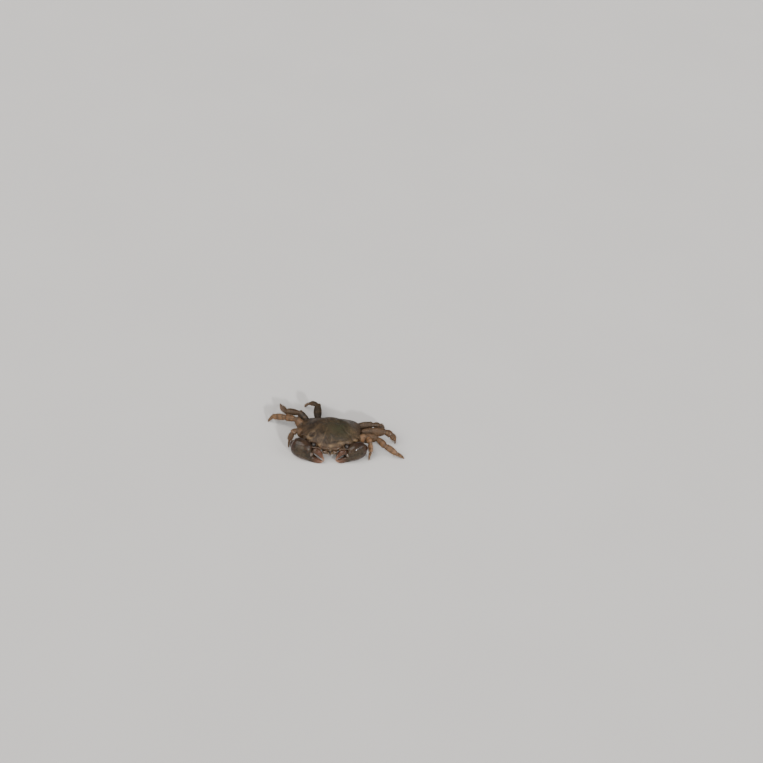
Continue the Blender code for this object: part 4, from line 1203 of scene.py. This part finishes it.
def moving_finger(name, wrist, axes, size):
    """The finger that bites against the palm's fixed one."""
    sized = [[value * size for value in section] for section in FINGER]
    start, end = FINGER_RIBS_REACH
    ribs = [(degrees, FINGER_RIB_WIDTH, height * size, start * size, end * size)
            for degrees, height in FINGER_RIBS]
    rings, distances = claw_rings("finger", wrist, sized, axes, ribs)
    along = FINGER_PALE_START + (1 - FINGER_PALE_START) * distances / sized[-1][0]
    values = {"along": along[:, None], "edge": 0.35}
    pieces = [body(f"{name}_dactyl_body", roughened(rings, "finger", size), "claw", values)]
    pieces += bite(MOVING_TEETH, FINGER_TEETH[1:6], wrist, axes, -1, size)
    dressed(merged(f"{name}_dactyl_shell", pieces), "finger", f"{name}_dactyl")


def claw(name, settings, side):
    """Arm, wrist, palm with the fixed finger, moving finger, soft joint skins and the sac."""
    size = settings["size"]
    points = [settings[key] for key in ("root", "elbow", "wrist", "heading")]
    root, elbow, wrist, heading = [Vector(point) for point in on_side(points, side)]
    along = heading.normalized()
    lean = Vector(PALM_LEAN)
    above = (lean - along * lean.dot(along)).normalized()
    across = above.cross(along)
    axes = (along, above, across)
    outer = 1 if across.y < 0 else -1

    def from_wrist(ahead, raised, outward):
        return wrist + (along * ahead + above * raised + across * (outward * outer)) * size

    joint = arm_and_wrist(name, root, elbow, wrist, side * outer, size)
    palm(name, wrist, axes, outer, size)
    moving_finger(name, wrist, axes, size)
    skins = []
    for place, way, up, (breadth, thickness, length) in (
            (from_wrist(*WRIST_SKIN_PLACE), across, above, WRIST_SKIN), (elbow, joint, UP, ELBOW_SKIN)):
        skins.append(joint_skin(place, way, up, breadth * size, thickness * size, length))
    dressed(merged(f"{name}_joint_skin", skins), "leg")
    dressed(vesicle(name, from_wrist(*SAC_PLACE), along, above, size), "claw")


def eye(name, side):
    """The stalk in its orbit and the dark cornea on its end."""
    root, neck, end = [Vector(point) for point in level_to_world(on_side(EYE_POINTS, side))]
    along = (end - neck).normalized()
    rings, shares = segment("stalk", root, neck + along * STALK_END, STALK, UP, bow=STALK_BOW)
    values = {"along": shares[:, None], "tone": 0.3, "tip": 0.0}
    dressed(body(f"{name}_stalk_shell", roughened(rings, "stalk"), "leg", values), "leg", f"{name}_stalk")
    rings, _ = segment("cornea", neck + along * CORNEA_START, end, CORNEA, UP, bow=CORNEA_BOW)
    dressed(body(f"{name}_cornea_glass", rings, "eye"), "eye", f"{name}_cornea")


def feeler(name, side, line, radii, knots, base_share):
    """A tapering feeler along a smooth bent line, with beads along its whip."""
    shares = np.linspace(0, 1, MESH["feeler"][1])
    beads = np.where(shares > base_share, FEELER_BEAD * np.cos(2 * pi * knots * shares), 0.0)
    rings = tube("feeler", line, radii, side, UP, beads)
    dressed(body(f"{name}_whip", rings, "feeler"), "feeler", name)


def mouth_plate(table, side):
    """One plate of an outer mouthpart: rows of level, inner and outer edge, front and half depth."""
    sides, count = MESH["plate"]
    shares = np.linspace(0, 1, count)
    levels = np.linspace(table[0][0], table[-1][0], count)
    inner, outer, front, depth = (values[:, None] for values in smooth(table, levels))
    _, c, s = around(sides)
    full = fuller(c, s, PLATE_SQUARENESS)
    c, s = c * full, s * full
    x = (inner + outer) / 2 + (outer - inner) / 2 * c
    furrow = PLATE_GROOVE * hill((c - PLATE_GROOVE_PLACE) / PLATE_GROOVE_WIDTH) * (s < 0)
    y = front + depth * (1 + s) + furrow * np.sin(pi * shares)[:, None]
    rings = level_to_world(np.stack([x * side, y, np.broadcast_to(levels[:, None], x.shape)], axis=-1))
    return body("plate", roughened(rings, "mouth"), "underside", {"flank": 0.55})


def mouth(name, side):
    """The outer mouthpart: lower and upper plate, jointed palp, slim outer branch, and hairs."""
    pieces = [mouth_plate(table, side) for table in (LOWER_PLATE, UPPER_PLATE)]
    for line, radii in ((PALP, PALP_WIDTHS), (BRANCH, BRANCH_WIDTHS)):
        rings = tube("branch", line, radii, side, (0.2, 1, 0.1))
        pieces.append(body("branch", rings, "underside", {"flank": 0.6}))
    dressed(merged(f"{name}_plates", pieces), "underside", name)
    hairs = []
    out, front, slope = MOUTH_HAIR_ROW
    inward, forward = MOUTH_HAIR_LEAN
    for level in np.linspace(*MOUTH_HAIR_LEVELS, MOUTH_HAIRS):
        root = level_to_world([(out * side, front + slope * level, level)])[0]
        aside = inward * side + draw.uniform(-MOUTH_HAIR_WANDER, MOUTH_HAIR_WANDER)
        lean = Vector((aside, forward, draw.uniform(*MOUTH_HAIR_RISE)))
        hairs.append((Vector(root), lean.normalized(), MOUTH_HAIR_LENGTH * draw.uniform(*MOUTH_HAIR_LENGTHS)))
    dressed(bristles(f"{name}_hairs", hairs), "underside")


def camera():
    """The photo's view: the shell's front edge falls on its pixel, at the photo's scale."""
    level = cos(VIEW_ELEVATION)
    back = Vector((sin(VIEW_YAW) * level, -cos(VIEW_YAW) * level, sin(VIEW_ELEVATION)))
    turn = (-back).to_track_quat("-Z", "Y") @ Matrix.Rotation(VIEW_ROLL, 3, "Z").to_quaternion()
    right, up = turn @ Vector((1, 0, 0)), turn @ Vector((0, 1, 0))
    aside = (FRONT_PIXEL[0] - PHOTO_SIZE / 2) / PIXELS_PER_MM
    raised = (PHOTO_SIZE / 2 - FRONT_PIXEL[1]) / PIXELS_PER_MM
    target = Vector(SHELL_FRONT) - right * aside - up * raised
    lens = bpy.data.cameras.new("photo_view")
    lens.sensor_width = SENSOR_WIDTH
    lens.lens = SENSOR_WIDTH * CAMERA_DISTANCE / (PHOTO_SIZE / PIXELS_PER_MM)
    lens.clip_start, lens.clip_end = CAMERA_REACH
    made = bpy.data.objects.new("photo_view", lens)
    made.location = (target + back * CAMERA_DISTANCE) * MM
    made.rotation_mode = "QUATERNION"
    made.rotation_quaternion = turn
    bpy.context.scene.collection.objects.link(made)
    bpy.context.scene.camera = made


def light(name, direction, spread, strength, colour):
    """A soft light from far off: the way to it, the degrees that it spans, and its strength at the crab."""
    lamp = bpy.data.lights.new(name, "SUN")
    lamp.angle, lamp.energy, lamp.color = radians(spread), strength, colour
    made = bpy.data.objects.new(name, lamp)
    made.location = direction
    made.rotation_euler = (-Vector(direction)).to_track_quat("-Z", "Y").to_euler()
    bpy.context.scene.collection.objects.link(made)


def surround():
    """An even pale surround, which meets the floor in the floor's own colour."""
    made = bpy.data.worlds.new("surround")
    made.use_nodes = True
    nodes, links = made.node_tree.nodes, made.node_tree.links
    direction = nodes.new("ShaderNodeSeparateXYZ")
    links.new(nodes.new("ShaderNodeTexCoord").outputs["Generated"], direction.inputs[0])
    height = nodes.new("ShaderNodeMapRange")
    height.inputs["From Max"].default_value = HORIZON_HEIGHT
    links.new(direction.outputs["Z"], height.inputs["Value"])
    fade = nodes.new("ShaderNodeMix")
    fade.data_type = "RGBA"
    fade.inputs[6].default_value = HORIZON
    fade.inputs[7].default_value = OVERHEAD
    links.new(height.outputs[0], fade.inputs[0])
    links.new(fade.outputs[2], nodes["Background"].inputs["Color"])
    bpy.context.scene.world = made


def studio():
    """A pale floor in a pale surround, under a soft key light, a fill and two lights for the wet sheen."""
    bpy.ops.mesh.primitive_plane_add(size=FLOOR_SIZE, location=(0, 0, 0))
    floor = bpy.context.object
    floor.name = "floor"
    s = Shader("floor_paint", (0.56, 0.54, 0.52))
    s.paint(s.noise(0.02, 2.0), (0.6, 0.58, 0.56))
    s.finish(0.75)
    floor.data.materials.append(s.material)
    surround()
    for row in LIGHTS:
        light(*row)


draw = Random(41)
camera()
studio()
carapace()
thorax()
abdomen()
for legs, leg_side in ((LEFT_LEGS, 1), (RIGHT_LEGS, -1)):
    for leg_name, leg_points in legs.items():
        leg(leg_name, leg_points, leg_side)
for word, word_side in (("left", 1), ("right", -1)):
    claw(f"claw_{word}", CLAWS[word], word_side)
    eye(f"eye_{word}", word_side)
    feeler(f"antenna_{word}", word_side, ANTENNA, ANTENNA_RADII, 22, 0.4)
    feeler(f"antennule_{word}", word_side, ANTENNULE, ANTENNULE_RADII, 10, 0.55)
    mouth(f"maxilliped_{word}", word_side)
